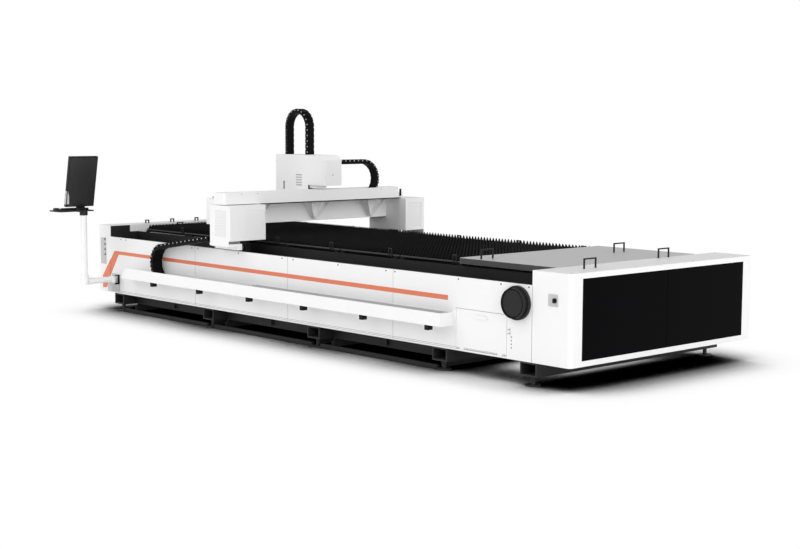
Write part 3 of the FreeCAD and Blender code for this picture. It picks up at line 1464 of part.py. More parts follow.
mouse_side = pad([("0", "0"), ("0", "mouse_height * 0.45"), ("mouse_length * 0.22", "mouse_height * 0.92"),
                  ("mouse_length * 0.45", "mouse_height"), ("mouse_length * 0.8", "mouse_height * 0.7"),
                  ("mouse_length", "mouse_height * 0.35"), ("mouse_length", "0")],
                 "mouse_width", "-y", (mouse_x, mouse_y[1], shelf_z[1]))
mouse_plan = pad([("mouse_length * 0.2", "0"), ("mouse_length * 0.85", "0"),
                  ("mouse_length", "mouse_width * 0.25"), ("mouse_length", "mouse_width * 0.75"),
                  ("mouse_length * 0.85", "mouse_width"), ("mouse_length * 0.2", "mouse_width"),
                  ("0", "mouse_width * 0.7"), ("0", "mouse_width * 0.3")],
                 "mouse_height", "z", (mouse_x, mouse_y[0], shelf_z[1]))
piece("mouse", overlap(mouse_side, mouse_plan))


def leaning(thing):
    """Lean a thing drawn about the monitor's hinge back by the monitor's tilt."""
    holder = doc.addObject("Part::Compound", "Leaning")
    holder.Links = [thing]
    holder.Placement.Rotation = FreeCAD.Rotation(FreeCAD.Vector(0, 1, 0), 1)
    tie(holder, "Placement.Rotation.Angle", "monitor_tilt")
    tie_base(holder, hinge_x, "pole_y", hinge_z)
    return holder


back_x = "(-monitor_back)"
case_x = (f"{back_x} - monitor_thick", back_x)
case_y = ("-monitor_width / 2 - shelf_shift", "monitor_width / 2 - shelf_shift")
case_z = ("hinge_drop", "hinge_drop + monitor_height")
case = cut(block(case_x, case_y, case_z),
           block((f"{case_x[0]} + screen_depth + case_wall", f"{case_x[1]} - case_wall"),
                 (f"{case_y[0]} + case_wall", f"{case_y[1]} - case_wall"),
                 (f"{case_z[0]} + case_wall", f"{case_z[1]} - case_wall")))
screen_y = (f"{case_y[0]} + screen_margin", f"{case_y[1]} - screen_margin")
screen_z = (f"{case_z[0]} + screen_low", f"{case_z[1]} - screen_margin")
screen_seat = block((f"{case_x[0]} - 1", f"{case_x[0]} + screen_depth"), screen_y, screen_z)
hinge_arm = block((f"{back_x} - 20", "0"), ("-hinge_half + 24", "hinge_half - 24"), ("-10", "10"))
arm_root = block((f"{back_x} - 30", back_x), ("-hinge_half + 24", "hinge_half - 24"), ("-10", "hinge_drop"))
knuckle = rod("-y", ("0", "hinge_half - 12 - seat_gap", "0"), "2 * (hinge_half - 12 - seat_gap)", "12")
hinge_pin = rod("-y", ("0", "hinge_half", "0"), "2 * hinge_half", "8")
stop_z = "(hinge_drop + 60)"
button_hole = rod("x", (f"{case_x[0]} - 1", f"{case_y[0]} + 70", stop_z), "31", "12 + running_gap")
piece("monitor_housing", leaning(cut(fuse(case, hinge_arm, arm_root, knuckle, hinge_pin),
                                     screen_seat, button_hole)))
piece("screen", leaning(block((case_x[0], f"{case_x[0]} + screen_depth"), screen_y, screen_z)))
button = fuse(rod("x", (f"{case_x[0]} - 26", f"{case_y[0]} + 70", stop_z), "14", "20"),
              rod("x", (f"{case_x[0]} - 12", f"{case_y[0]} + 70", stop_z), "30", "12"))
piece("emergency_stop", leaning(button))


# ---------------------------------------------------------------- write

doc.recompute()
for thing in doc.Objects:
    if "Invalid" in thing.State or "Error" in thing.State:
        raise RuntimeError("%s (%s) failed to build" % (thing.Name, thing.Label))
for thing in PIECES:
    if thing.Shape.isNull() or not thing.Shape.isValid():
        raise RuntimeError("%s has no valid shape" % thing.Label)
os.makedirs("parts", exist_ok=True)
for thing in PIECES:
    thing.Shape.exportStep(f"parts/{thing.Label}.step")
print(len(PIECES), "pieces written")
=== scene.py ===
"""Dressed scene of a gantry laser cutting machine for sheet metal.

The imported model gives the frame. This file gives each of its nodes a finish, adds the fine
pieces that ride on them, and sets the floor, the lamps and the camera. Places are in metres
from the machine's near front floor corner: x towards the near end, y to the back side, z up.
"""

from __future__ import annotations

import json
import logging
import math
from collections.abc import Sequence
from dataclasses import dataclass
from enum import Enum
from functools import cache

import bmesh
import bpy
from bpy.types import Material, Node, NodeSocket, NodeTree, Object
from mathutils import Matrix, Vector


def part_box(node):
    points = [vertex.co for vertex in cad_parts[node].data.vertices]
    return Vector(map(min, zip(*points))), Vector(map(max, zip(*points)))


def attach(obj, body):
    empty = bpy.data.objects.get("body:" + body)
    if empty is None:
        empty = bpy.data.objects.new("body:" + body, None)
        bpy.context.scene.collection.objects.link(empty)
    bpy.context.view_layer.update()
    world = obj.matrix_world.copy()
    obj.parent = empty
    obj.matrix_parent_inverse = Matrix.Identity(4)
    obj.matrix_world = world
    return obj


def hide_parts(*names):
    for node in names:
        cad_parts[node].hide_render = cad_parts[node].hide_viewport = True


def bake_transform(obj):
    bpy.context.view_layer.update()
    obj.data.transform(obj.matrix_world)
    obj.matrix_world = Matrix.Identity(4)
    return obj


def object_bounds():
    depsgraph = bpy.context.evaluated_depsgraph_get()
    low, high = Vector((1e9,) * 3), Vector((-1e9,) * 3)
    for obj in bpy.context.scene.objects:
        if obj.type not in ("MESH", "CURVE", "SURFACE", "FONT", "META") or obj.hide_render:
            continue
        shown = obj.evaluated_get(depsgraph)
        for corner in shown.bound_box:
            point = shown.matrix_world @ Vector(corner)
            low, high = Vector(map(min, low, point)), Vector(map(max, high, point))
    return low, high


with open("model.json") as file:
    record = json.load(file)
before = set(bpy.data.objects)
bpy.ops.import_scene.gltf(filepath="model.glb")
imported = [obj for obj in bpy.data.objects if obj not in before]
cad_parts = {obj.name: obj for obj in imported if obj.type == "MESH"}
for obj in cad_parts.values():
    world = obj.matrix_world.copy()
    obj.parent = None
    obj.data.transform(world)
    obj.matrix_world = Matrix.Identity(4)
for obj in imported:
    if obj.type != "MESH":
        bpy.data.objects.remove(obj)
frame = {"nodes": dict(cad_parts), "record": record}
CAD_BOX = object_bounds()

log = logging.getLogger("machine")

Colour = tuple[float, float, float]
Point = tuple[float, float, float]
Row = tuple[float, ...]
Outline = Sequence[tuple[float, float]]

TO_NEAR: Point = (1.0, 0.0, 0.0)
TO_FAR: Point = (-1.0, 0.0, 0.0)
TO_BACK: Point = (0.0, 1.0, 0.0)
TO_FRONT: Point = (0.0, -1.0, 0.0)
UPWARDS: Point = (0.0, 0.0, 1.0)


class Body(str, Enum):
    """The bodies of the machine that fine pieces ride on."""

    BASE = "base"
    GANTRY = "gantry"
    CARRIAGE = "carriage"
    HEAD = "head"
    POLE = "pole"
    MONITOR = "monitor"


def add_object(name: str, data: bpy.types.ID) -> Object:
    """Add an object with the data given to the scene, and return it."""
    made = bpy.data.objects.new(name, data)
    bpy.context.scene.collection.objects.link(made)
    return made


# ---- shader nodes


def add_node(
    tree: NodeTree,
    kind: str,
    inputs: dict[str | int, object] | None = None,
    **settings: object,
) -> Node:
    """Add a node to a shader tree.

    Args:
        tree: the node tree.
        kind: the node's type, without the word ShaderNode.
        inputs: the values of its unlinked inputs, by name or by place.
        settings: its own settings, such as its operation.

    Returns:
        The new node.
    """
    node = tree.nodes.new(f"ShaderNode{kind}")
    for name, setting in settings.items():
        setattr(node, name, setting)
    for key, number in (inputs or {}).items():
        node.inputs[key].default_value = number
    return node


def join(tree: NodeTree, *links: tuple[Node, str | int, Node, str | int]) -> None:
    """Link nodes of a tree, each time from one node's output to another node's input."""
    for source, output, target, entry in links:
        tree.links.new(source.outputs[output], target.inputs[entry])


class Effects:
    """Shader node groups that more than one finish uses, each built once."""

    @staticmethod
    def _new(name: str, inputs: dict[str, float], outputs: tuple[str, ...]) -> NodeTree:
        """Make an empty group with its sockets.

        Args:
            name: the group's name.
            inputs: the float inputs with their default values.
            outputs: the names of the float outputs.

        Returns:
            The new node group, with an input and an output node in it.
        """
        group = bpy.data.node_groups.new(name, "ShaderNodeTree")
        for label, default in inputs.items():
            socket = group.interface.new_socket(
                label, in_out="INPUT", socket_type="NodeSocketFloat"
            )
            socket.default_value = default
        for label in outputs:
            group.interface.new_socket(label, in_out="OUTPUT", socket_type="NodeSocketFloat")
        group.nodes.new("NodeGroupInput").name = "in"
        group.nodes.new("NodeGroupOutput").name = "out"
        return group

    @staticmethod
    @cache
    def grain() -> NodeTree:
        """The group for a fine even grain, as powder paint or moulded plastic has.

        Returns:
            A group with the input Size and the outputs Height and Shade.
        """
        group = Effects._new("grain", {"Size": 400.0}, ("Height", "Shade"))
        given, wanted = group.nodes["in"], group.nodes["out"]
        place = add_node(group, "TexCoord")
        fine = add_node(group, "TexNoise", {"Detail": 2.0})
        broad = add_node(group, "TexNoise", {"Scale": 2.0, "Detail": 4.0, "Roughness": 0.6})
        join(
            group,
            (place, "Object", fine, "Vector"),
            (place, "Object", broad, "Vector"),
            (given, "Size", fine, "Scale"),
            (fine, "Fac", wanted, "Height"),
            (broad, "Fac", wanted, "Shade"),
        )
        return group

    @staticmethod
    @cache
    def dust() -> NodeTree:
        """The group for a thin film of shop dust, thick near the floor and on tops.

        Returns:
            A group with the input Reach and the output Dust, from 0 to 1.
        """
        group = Effects._new("dust", {"Reach": 0.5}, ("Dust",))
        given, wanted = group.nodes["in"], group.nodes["out"]
        place = add_node(group, "TexCoord")
        split = add_node(group, "SeparateXYZ")
        fade = add_node(group, "MapRange", {"From Min": 0.0, "To Min": 1.0, "To Max": 0.0})
        cloud = add_node(group, "TexNoise", {"Scale": 3.0, "Detail": 5.0})
        facing = add_node(group, "NewGeometry")
        rise = add_node(group, "SeparateXYZ")
        top = add_node(group, "Math", {1: 0.5}, operation="MULTIPLY_ADD", use_clamp=True)
        mixed = add_node(group, "Math", operation="MULTIPLY", use_clamp=True)
        join(
            group,
            (place, "Object", split, 0),
            (split, "Z", fade, "Value"),
            (given, "Reach", fade, "From Max"),
            (place, "Object", cloud, "Vector"),
            (facing, "Normal", rise, 0),
            (rise, "Z", top, 0),
            (fade, "Result", top, 2),
            (top, 0, mixed, 0),
            (cloud, "Fac", mixed, 1),
            (mixed, 0, wanted, "Dust"),
        )
        return group

    @staticmethod
    @cache
    def brushed() -> NodeTree:
        """The group for the fine parallel lines that rolling or brushing leaves on metal.

        Returns:
            A group with the inputs Along, Across and Rise and the output Line.
        """
        scales = {"Along": 4.0, "Across": 300.0, "Rise": 300.0}
        group = Effects._new("brushed", scales, ("Line",))
        given, wanted = group.nodes["in"], group.nodes["out"]
        place = add_node(group, "TexCoord")
        stretch = add_node(group, "VectorMath", operation="MULTIPLY")
        scale = add_node(group, "CombineXYZ")
        noise = add_node(group, "TexNoise", {"Scale": 1.0, "Detail": 3.0})
        join(
            group,
            (given, "Along", scale, "X"),
            (given, "Across", scale, "Y"),
            (given, "Rise", scale, "Z"),
            (place, "Object", stretch, 0),
            (scale, 0, stretch, 1),
            (stretch, 0, noise, "Vector"),
            (noise, "Fac", wanted, "Line"),
        )
        return group


# ---- finishes

COAT_ROUGHNESS = 0.18
GRAIN_STRENGTH = 0.35
DUST_REACH = 0.5
DUST_COLOUR: Colour = (0.32, 0.30, 0.28)


@dataclass(frozen=True)
class Finish:
    """One surface finish, made into a material the first time it is used.

    The colour is linear. grain_size is in grains a metre, grain_depth in metres.
    """

    name: str
    colour: Colour
    roughness: float = 0.4
    metallic: float = 0.0
    coat: float = 0.0
    grain_size: float = 500.0
    grain_depth: float = 0.0002
    mottle: float = 0.03
    gloss_spread: float = 0.06
    specular: float = 0.5
    dust: float = 0.0
    lines: float = 0.0
    line_scale: Point = (4.0, 300.0, 300.0)

    def material(self) -> Material:
        """Return this finish's material, building it at first use."""
        found = bpy.data.materials.get(self.name)
        return found if found else self._build()

    def _build(self) -> Material:
        """Build the node tree of the finish.

        Returns:
            The new material.
        """
        made = bpy.data.materials.new(self.name)
        made.use_nodes = True
        tree = made.node_tree
        link = tree.links.new
        shader = tree.nodes["Principled BSDF"].inputs
        shader["Metallic"].default_value = self.metallic
        shader["Coat Weight"].default_value = self.coat
        shader["Coat Roughness"].default_value = COAT_ROUGHNESS
        shader["Specular IOR Level"].default_value = self.specular
        grain = add_node(tree, "Group", {"Size": self.grain_size}, node_tree=Effects.grain())
        colour = add_node(
            tree, "Mix", {0: 1.0, 6: (*self.colour, 1.0)}, data_type="RGBA", blend_type="MULTIPLY"
        )
        shade, height = grain.outputs["Shade"], grain.outputs["Height"]
        link(self._spread(tree, shade, self.mottle), colour.inputs[7])
        result = colour.outputs[2]
        gloss = self._spread(tree, shade, self.gloss_spread, self.roughness)
        if self.lines:
            scales = dict(zip(("Along", "Across", "Rise"), self.line_scale))
            height = add_node(tree, "Group", scales, node_tree=Effects.brushed()).outputs["Line"]
            streak = self._spread(tree, height, self.lines)
            lined = add_node(tree, "Mix", {0: 1.0}, data_type="RGBA", blend_type="MULTIPLY")
            link(result, lined.inputs[6])
            link(streak, lined.inputs[7])
            result = lined.outputs[2]
        if self.dust:
            result = self._dusted(tree, result)
        bump = add_node(tree, "Bump", {"Strength": GRAIN_STRENGTH, "Distance": self.grain_depth})
        link(height, bump.inputs["Height"])
        link(result, shader["Base Color"])
        link(gloss, shader["Roughness"])
        link(bump.outputs["Normal"], shader["Normal"])
        return made

    def _spread(
        self, tree: NodeTree, source: NodeSocket, amount: float, middle: float = 1.0
    ) -> NodeSocket:
        """Turn a noise value into one that wavers a little round a middle value.

        Args:
            tree: the material's node tree.
            source: the noise value, from 0 to 1.
            amount: how far the result strays from the middle each way.
            middle: the middle value.

        Returns:
            The socket with the wavering value.
        """
        reach = {"To Min": middle - amount, "To Max": middle + amount}
        ranged = add_node(tree, "MapRange", {"From Min": 0.3, "From Max": 0.7, **reach})
        tree.links.new(source, ranged.inputs["Value"])
        return ranged.outputs["Result"]

    def _dusted(self, tree: NodeTree, clean: NodeSocket) -> NodeSocket:
        """Lay the dust film over a clean colour.

        Args:
            tree: the material's node tree.
            clean: the colour below the dust.

        Returns:
            The socket with the dusted colour.
        """
        film = add_node(tree, "Group", {"Reach": DUST_REACH}, node_tree=Effects.dust())
        share = add_node(tree, "Math", {1: self.dust}, operation="MULTIPLY")
        mixed = add_node(tree, "Mix", {7: (*DUST_COLOUR, 1.0)}, data_type="RGBA")
        join(tree, (film, "Dust", share, 0), (share, 0, mixed, 0))
        tree.links.new(clean, mixed.inputs[6])
        return mixed.outputs[2]


WHITE_PAINT = Finish(
    "white_powder_paint", (0.86, 0.86, 0.86), roughness=0.42, mottle=0.012, dust=0.04
)
GREY_PAINT = Finish("light_grey_paint", (0.52, 0.52, 0.52), roughness=0.4, mottle=0.02)
DULL_GREY = Finish("dull_grey_paint", (0.045, 0.045, 0.046), roughness=0.45, mottle=0.06)
BLACK_PAINT = Finish(
    "black_frame_paint", (0.012, 0.012, 0.013), roughness=0.5, mottle=0.15, dust=0.08,
    specular=0.3,
)
FLAT_BLACK = Finish(
    "flat_black_paint", (0.004, 0.004, 0.004), roughness=0.6, mottle=0.1, specular=0.2
)
DARK_STEEL = Finish(
    "burnt_slat_steel", (0.012, 0.012, 0.012), roughness=0.6, metallic=0.2, mottle=0.3,
    gloss_spread=0.12, grain_size=220.0, lines=0.2, line_scale=(60.0, 8.0, 160.0), specular=0.12,
)
BRIGHT_STEEL = Finish(
    "ground_bright_steel", (0.62, 0.62, 0.63), roughness=0.25, metallic=1.0, mottle=0.04,
    lines=0.06,
)
BLACK_OXIDE = Finish(
    "black_oxide_steel", (0.02, 0.02, 0.021), roughness=0.4, metallic=0.6, grain_size=900.0
)
DARK_GLASS = Finish(
    "smoked_glass", (0.0015, 0.0015, 0.002), roughness=0.12, specular=0.02, grain_depth=0.00001
)
CHAIN_PLASTIC = Finish(
    "chain_nylon", (0.0035, 0.0035, 0.004), roughness=0.5, grain_size=900.0, mottle=0.08,
    specular=0.08,
)
PIN_PLASTIC = Finish("pin_nylon", (0.55, 0.55, 0.52), roughness=0.4, grain_size=900.0)
BLACK_PLASTIC = Finish(
    "moulded_black_plastic", (0.008, 0.008, 0.009), roughness=0.45, grain_size=1200.0,
    specular=0.3,
)
KEY_PLASTIC = Finish(
    "key_plastic", (0.02, 0.02, 0.021), roughness=0.5, grain_size=1500.0, specular=0.3
)
DARK_PANEL = Finish(
    "dark_grey_panel", (0.022, 0.022, 0.023), roughness=0.45, grain_size=1200.0, specular=0.3
)
SEAM_SHADE = Finish("seam_shade", (0.10, 0.10, 0.10), roughness=0.7, specular=0.1)
CONDUIT_GREY = Finish(
    "grey_conduit", (0.36, 0.36, 0.36), roughness=0.6, grain_size=900.0, mottle=0.04
)
STRIPE_FILM = Finish(
    "orange_film", (0.74, 0.19, 0.09), roughness=0.35, mottle=0.015, grain_size=700.0
)
SCREEN_GLASS = Finish(
    "screen_glass", (0.008, 0.009, 0.011), roughness=0.08, coat=0.6, grain_depth=0.00001
)
ALUMINIUM = Finish(
    "milled_aluminium", (0.60, 0.60, 0.61), roughness=0.32, metallic=1.0, lines=0.05
)
COPPER = Finish("turned_copper", (0.72, 0.36, 0.22), roughness=0.25, metallic=1.0, lines=0.06)
RED_PLASTIC = Finish(
    "red_button_plastic", (0.55, 0.02, 0.015), roughness=0.3, coat=0.3, grain_size=1400.0
)

NODE_FINISHES: dict[str, Finish] = {f"slag_tray_{number}": BLACK_PAINT for number in (1, 2, 3)}

SLOT_FINISHES: dict[str, Finish] = {
    "white_paint": WHITE_PAINT,
    "grey_paint": GREY_PAINT,
    "black_paint": BLACK_PAINT,
    "dark_steel": DARK_STEEL,
    "bright_steel": BRIGHT_STEEL,
    "dark_glass": DARK_GLASS,
    "chain_plastic": CHAIN_PLASTIC,
    "black_plastic": BLACK_PLASTIC,
    "screen_glass": SCREEN_GLASS,
    "aluminium": ALUMINIUM,
    "copper_alloy": COPPER,
    "red_plastic": RED_PLASTIC,
}


# ---- shapes

MERGE_WITHIN = 0.000005
SHARP_FROM = math.radians(35.0)
ZERO = Vector((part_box("near_cabinet")[1].x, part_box("side_panel_front")[0].y, 0.0))


def span(node: str) -> tuple[Vector, Vector]:
    """Find a node's box.

    Args:
        node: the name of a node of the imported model.

    Returns:
        Its low and high corner in machine coordinates.
    """
    low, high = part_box(node)
    return low - ZERO, high - ZERO


class Axis(Enum):
    """A main axis, which knows the order of the two coordinates across it."""

    X = (1, 2)
    Y = (0, 2)

    def point(self, first: float, second: float, depth: float) -> Vector:
        """Place a point.

        Args:
            first: the first coordinate across the axis.
            second: the second coordinate across the axis.
            depth: the coordinate along the axis.

        Returns:
            The point in machine coordinates.
        """
        place = Vector((0.0, 0.0, 0.0))
        place[self.value[0]] = first
        place[self.value[1]] = second
        place[3 - sum(self.value)] = depth
        return place


@dataclass(frozen=True)
class Wear:
    """How a piece is finished, what it rides on, its slot and the nodes it stands in for."""

    finish: Finish
    body: Body
    slot: str
    replaces: tuple[str, ...] = ()


BASE_SCREWS = Wear(BLACK_OXIDE, Body.BASE, "dark_steel")
BASE_BLACK = Wear(FLAT_BLACK, Body.BASE, "black_paint")


class Shape:
    """A mesh in the making, in metres from the machine's near front floor corner."""

    def __init__(self) -> None:
        """Start an empty mesh."""
        self.mesh = bmesh.new()

    def block(self, low: Point, high: Point, edge: float = 0.0, steps: int = 2) -> Shape:
        """Add a box, with rounded edges where asked.

        Args:
            low: its low corner.
            high: its high corner.
            edge: the width of its rounded edges, or 0 for sharp ones.
            steps: the segments of each rounded edge.

        Returns:
            This shape.
        """
        size = Vector(high) - Vector(low)
        middle = (Vector(low) + Vector(high)) / 2
        place = Matrix.Translation(middle) @ Matrix.Diagonal((*size, 1.0))
        corners = bmesh.ops.create_cube(self.mesh, size=1.0, matrix=place)["verts"]
        if edge:
            lines = dict.fromkeys(line for corner in corners for line in corner.link_edges)
            bmesh.ops.bevel(
                self.mesh, geom=list(lines), offset=edge, segments=steps, profile=0.5,
                affect="EDGES", material=-1,
            )
        return self

    def rod(self, start: Point, end: Point, radius: float, sides: int = 16) -> Shape:
        """Add a round rod.

        Args:
            start: the middle of its first end.
            end: the middle of its other end.
            radius: its radius.
            sides: the number of its sides.

        Returns:
            This shape.
        """
        axis = Vector(end) - Vector(start)
        turn = axis.to_track_quat("Z", "Y").to_matrix().to_4x4()
        place = Matrix.Translation((Vector(start) + Vector(end)) / 2) @ turn
        bmesh.ops.create_cone(
            self.mesh, cap_ends=True, segments=sides, radius1=radius, radius2=radius,
            depth=axis.length, matrix=place,
        )
        return self

    def turned(self, outline: Outline, start: Point, along: Point, sides: int = 16) -> Shape:
        """Add a form turned about an axis.

        Args:
            outline: the radius and the height of each point of its profile.
            start: the place on the axis at height 0.
            along: the way in which height grows.
            sides: the number of steps round the axis.

        Returns:
            This shape.
        """
        axis = Vector(along).normalized()
        side = axis.orthogonal().normalized()
        verts = [
            self.mesh.verts.new(Vector(start) + side * radius + axis * height)
            for radius, height in outline
        ]
        edges = [self.mesh.edges.new(pair) for pair in zip(verts, verts[1:])]
        bmesh.ops.spin(
            self.mesh, geom=verts + edges, cent=Vector(start), axis=axis, angle=math.tau,
            steps=sides, use_merge=True, use_duplicate=False,
        )
        return self

    def plate(self, outline: Outline, axis: Axis, low: float, high: float) -> Shape:
        """Add a flat plate with the outline given.

        Args:
            outline: its corners, as the two coordinates across the axis.
            axis: the axis through its thickness.
            low: where it starts on that axis.
            high: where it ends on that axis.

        Returns:
            This shape.
        """
        corners = [self.mesh.verts.new(axis.point(*corner, low)) for corner in outline]
        loop = [self.mesh.edges.new(pair) for pair in zip(corners, corners[1:] + corners[:1])]
        face = bmesh.ops.contextual_create(self.mesh, geom=corners + loop)["faces"]
        raised = bmesh.ops.extrude_face_region(self.mesh, geom=face)["geom"]
        lifted = [item for item in raised if isinstance(item, bmesh.types.BMVert)]
        bmesh.ops.translate(self.mesh, vec=axis.point(0.0, 0.0, high - low), verts=lifted)
        return self

    def move(self, change: Matrix) -> Shape:
        """Move or turn the whole shape, and return it."""
        bmesh.ops.transform(self.mesh, matrix=change, verts=self.mesh.verts[:])
        return self

    def screw(self, place: Point, along: Point, radius: float) -> Shape:
        """Add the domed head of a socket screw.

        Args:
            place: the middle of its seat.
            along: the way it looks.
            radius: its radius.

        Returns:
            This shape.
        """
        dome = [(0.0, 0.12), (0.30, 0.12), (0.42, 0.42), (0.72, 0.36), (0.95, 0.18), (1.0, 0.0)]
        return self.turned([(r * radius, h * radius) for r, h in dome], place, along, 12)

    def stamp(self, other: Shape, places: list[Matrix]) -> Shape:
        """Add copies of another shape.

        Args:
            other: the shape to copy; it can be used again.
            places: where each copy goes.

        Returns:
            This shape.
        """
        pattern = bpy.data.meshes.new("pattern")
        other.mesh.to_mesh(pattern)
        for place in places:
            copy = pattern.copy()
            copy.transform(place)
            self.mesh.from_mesh(copy)
            bpy.data.meshes.remove(copy)
        bpy.data.meshes.remove(pattern)
        return self

    def form(self, name: str, wear: Wear) -> Object:
        """Close the mesh and make it an object that rides on nothing yet.

        Args:
            name: the piece's name.
            wear: its finish, slot and the nodes it stands in for.

        Returns:
            The new object.
        """
        bmesh.ops.remove_doubles(self.mesh, verts=self.mesh.verts[:], dist=MERGE_WITHIN)
        bmesh.ops.recalc_face_normals(self.mesh, faces=self.mesh.faces[:])
        bmesh.ops.translate(self.mesh, vec=ZERO, verts=self.mesh.verts[:])
        mesh = bpy.data.meshes.new(name)
        self.mesh.to_mesh(mesh)
        self.mesh.free()
        mesh.shade_smooth()
        mesh.set_sharp_from_angle(angle=SHARP_FROM)
        mesh.materials.append(wear.finish.material())
        made = add_object(name, mesh)
        if wear.replaces:
            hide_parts(*wear.replaces)
        return made


class Assembly:
    """A group of fine pieces: build() shapes them in the order of wears, dress() adds them."""

    wears: dict[str, Wear] = {}

    def build(self) -> tuple[Shape, ...]:
        """Shape the pieces, in the order of wears."""
        raise NotImplementedError

    def dress(self) -> None:
        """Give every piece its name and its finish and let it ride on its body."""
        for (name, wear), shape in zip(self.wears.items(), self.build(), strict=True):
            made = shape.form(name, wear)
            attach(made, wear.body.value)
            log.info("%s: %d faces on %s", name, len(made.data.polygons), wear.body.value)


# ---- front side


@dataclass
class FrontPanel(Assembly):
    """The stripe, the screws, the drilled holes, the ports and the seams of the front side, with
    painted shade in the holes, in the port strip's recess and along the folds near the foot.
    """

    stripe: Outline = (
        (-1.668, 0.803), (-8.152, 0.818), (-8.257, 0.6935), (-8.257, 0.481), (-8.048, 0.773),
        (-1.668, 0.752),
    )
    stripe_end: Outline = (
        (-8.2585, 0.692), (-8.456, 0.461), (-8.459, 0.294), (-8.365, 0.302), (-8.261, 0.477),
        (-8.2585, 0.4805),
    )
    screw_places: Row = (
        -7.984, -7.858, -6.304, -6.171, -5.313, -4.454, -4.246, -3.434, -2.629, -2.484, -1.517,
        -0.917, -0.541,
    )
    screw_height: float = 0.983
    hole_place: float = -0.767
    hole_heights: Row = (0.466, 0.430, 0.394, 0.358)
    port_place: float = -8.385
    port_heights: Row = (0.965, 0.896, 0.826, 0.757)
    port_profile: Outline = (
        (0.0, 0.002), (0.006, 0.002), (0.007, 0.006), (0.011, 0.006), (0.012, 0.0),
    )
    isolator_places: Row = (-0.270, -0.173)
    isolator_heights: Row = (0.836, 0.931)
    seams: Outline = ((-6.237, 0.0025), (-4.350, 0.0025), (-2.515, 0.0025), (-0.4955, 0.0035))
    fold_shade_heights: Row = (0.2600, 0.2760)
    fold_shade_width: float = 0.0025
    wears = {
        "side_stripe": Wear(STRIPE_FILM, Body.BASE, "white_paint"),
        "side_screws": BASE_SCREWS,
        "side_sockets_and_hole_shade": Wear(BLACK_PLASTIC, Body.BASE, "black_plastic"),
        "isolator_screws": BASE_SCREWS,
        "port_recess_shade": Wear(GREY_PAINT, Body.BASE, "grey_paint"),
        "side_seams_and_fold_shade": Wear(SEAM_SHADE, Body.BASE, "grey_paint"),
    }

    def build(self) -> tuple[Shape, ...]:
        """Shape the front side's pieces."""
        stripe = Shape().plate(self.stripe, Axis.Y, -0.0009, 0.0004)
        stripe.plate(self.stripe_end, Axis.Y, -0.0049, -0.0036)
        screws, sockets_and_hole_shade, corners, seams = Shape(), Shape(), Shape(), Shape()
        for x in self.screw_places:
            screws.screw((x, 0.0, self.screw_height), TO_FRONT, 0.0088)
        # painted shade: black domes stand for the dark inside of the drilled holes; the port
        # sockets below are real black parts
        for z in self.hole_heights:
            sockets_and_hole_shade.screw((self.hole_place, 0.0, z), TO_FRONT, 0.007)
        for z in self.port_heights:
            sockets_and_hole_shade.turned(self.port_profile, (self.port_place, -0.0045, z), TO_FRONT)
        for x in self.isolator_places:
            for z in self.isolator_heights:
                corners.screw((x, -0.001, z), TO_FRONT, 0.0045)
        # painted shade: a grey strip where the port panel is recessed
        port_shade = Shape().block((-8.4975, -0.0050, 0.623), (-8.3685, -0.0038, 0.983), 0.0004, 1)
        for x, wide in self.seams:
            seams.block((x - wide / 2, -0.0004, 0.2450), (x + wide / 2, 0.0002, 1.0030))
        # painted shade: dark lines along the folds of the panel's lower edge; the seams above are
        # dark joints
        for z in self.fold_shade_heights:
            seams.block((-8.2500, -0.0005, z), (-0.8300, 0.0002, z + self.fold_shade_width))
        return stripe, screws, sockets_and_hole_shade, corners, port_shade, seams


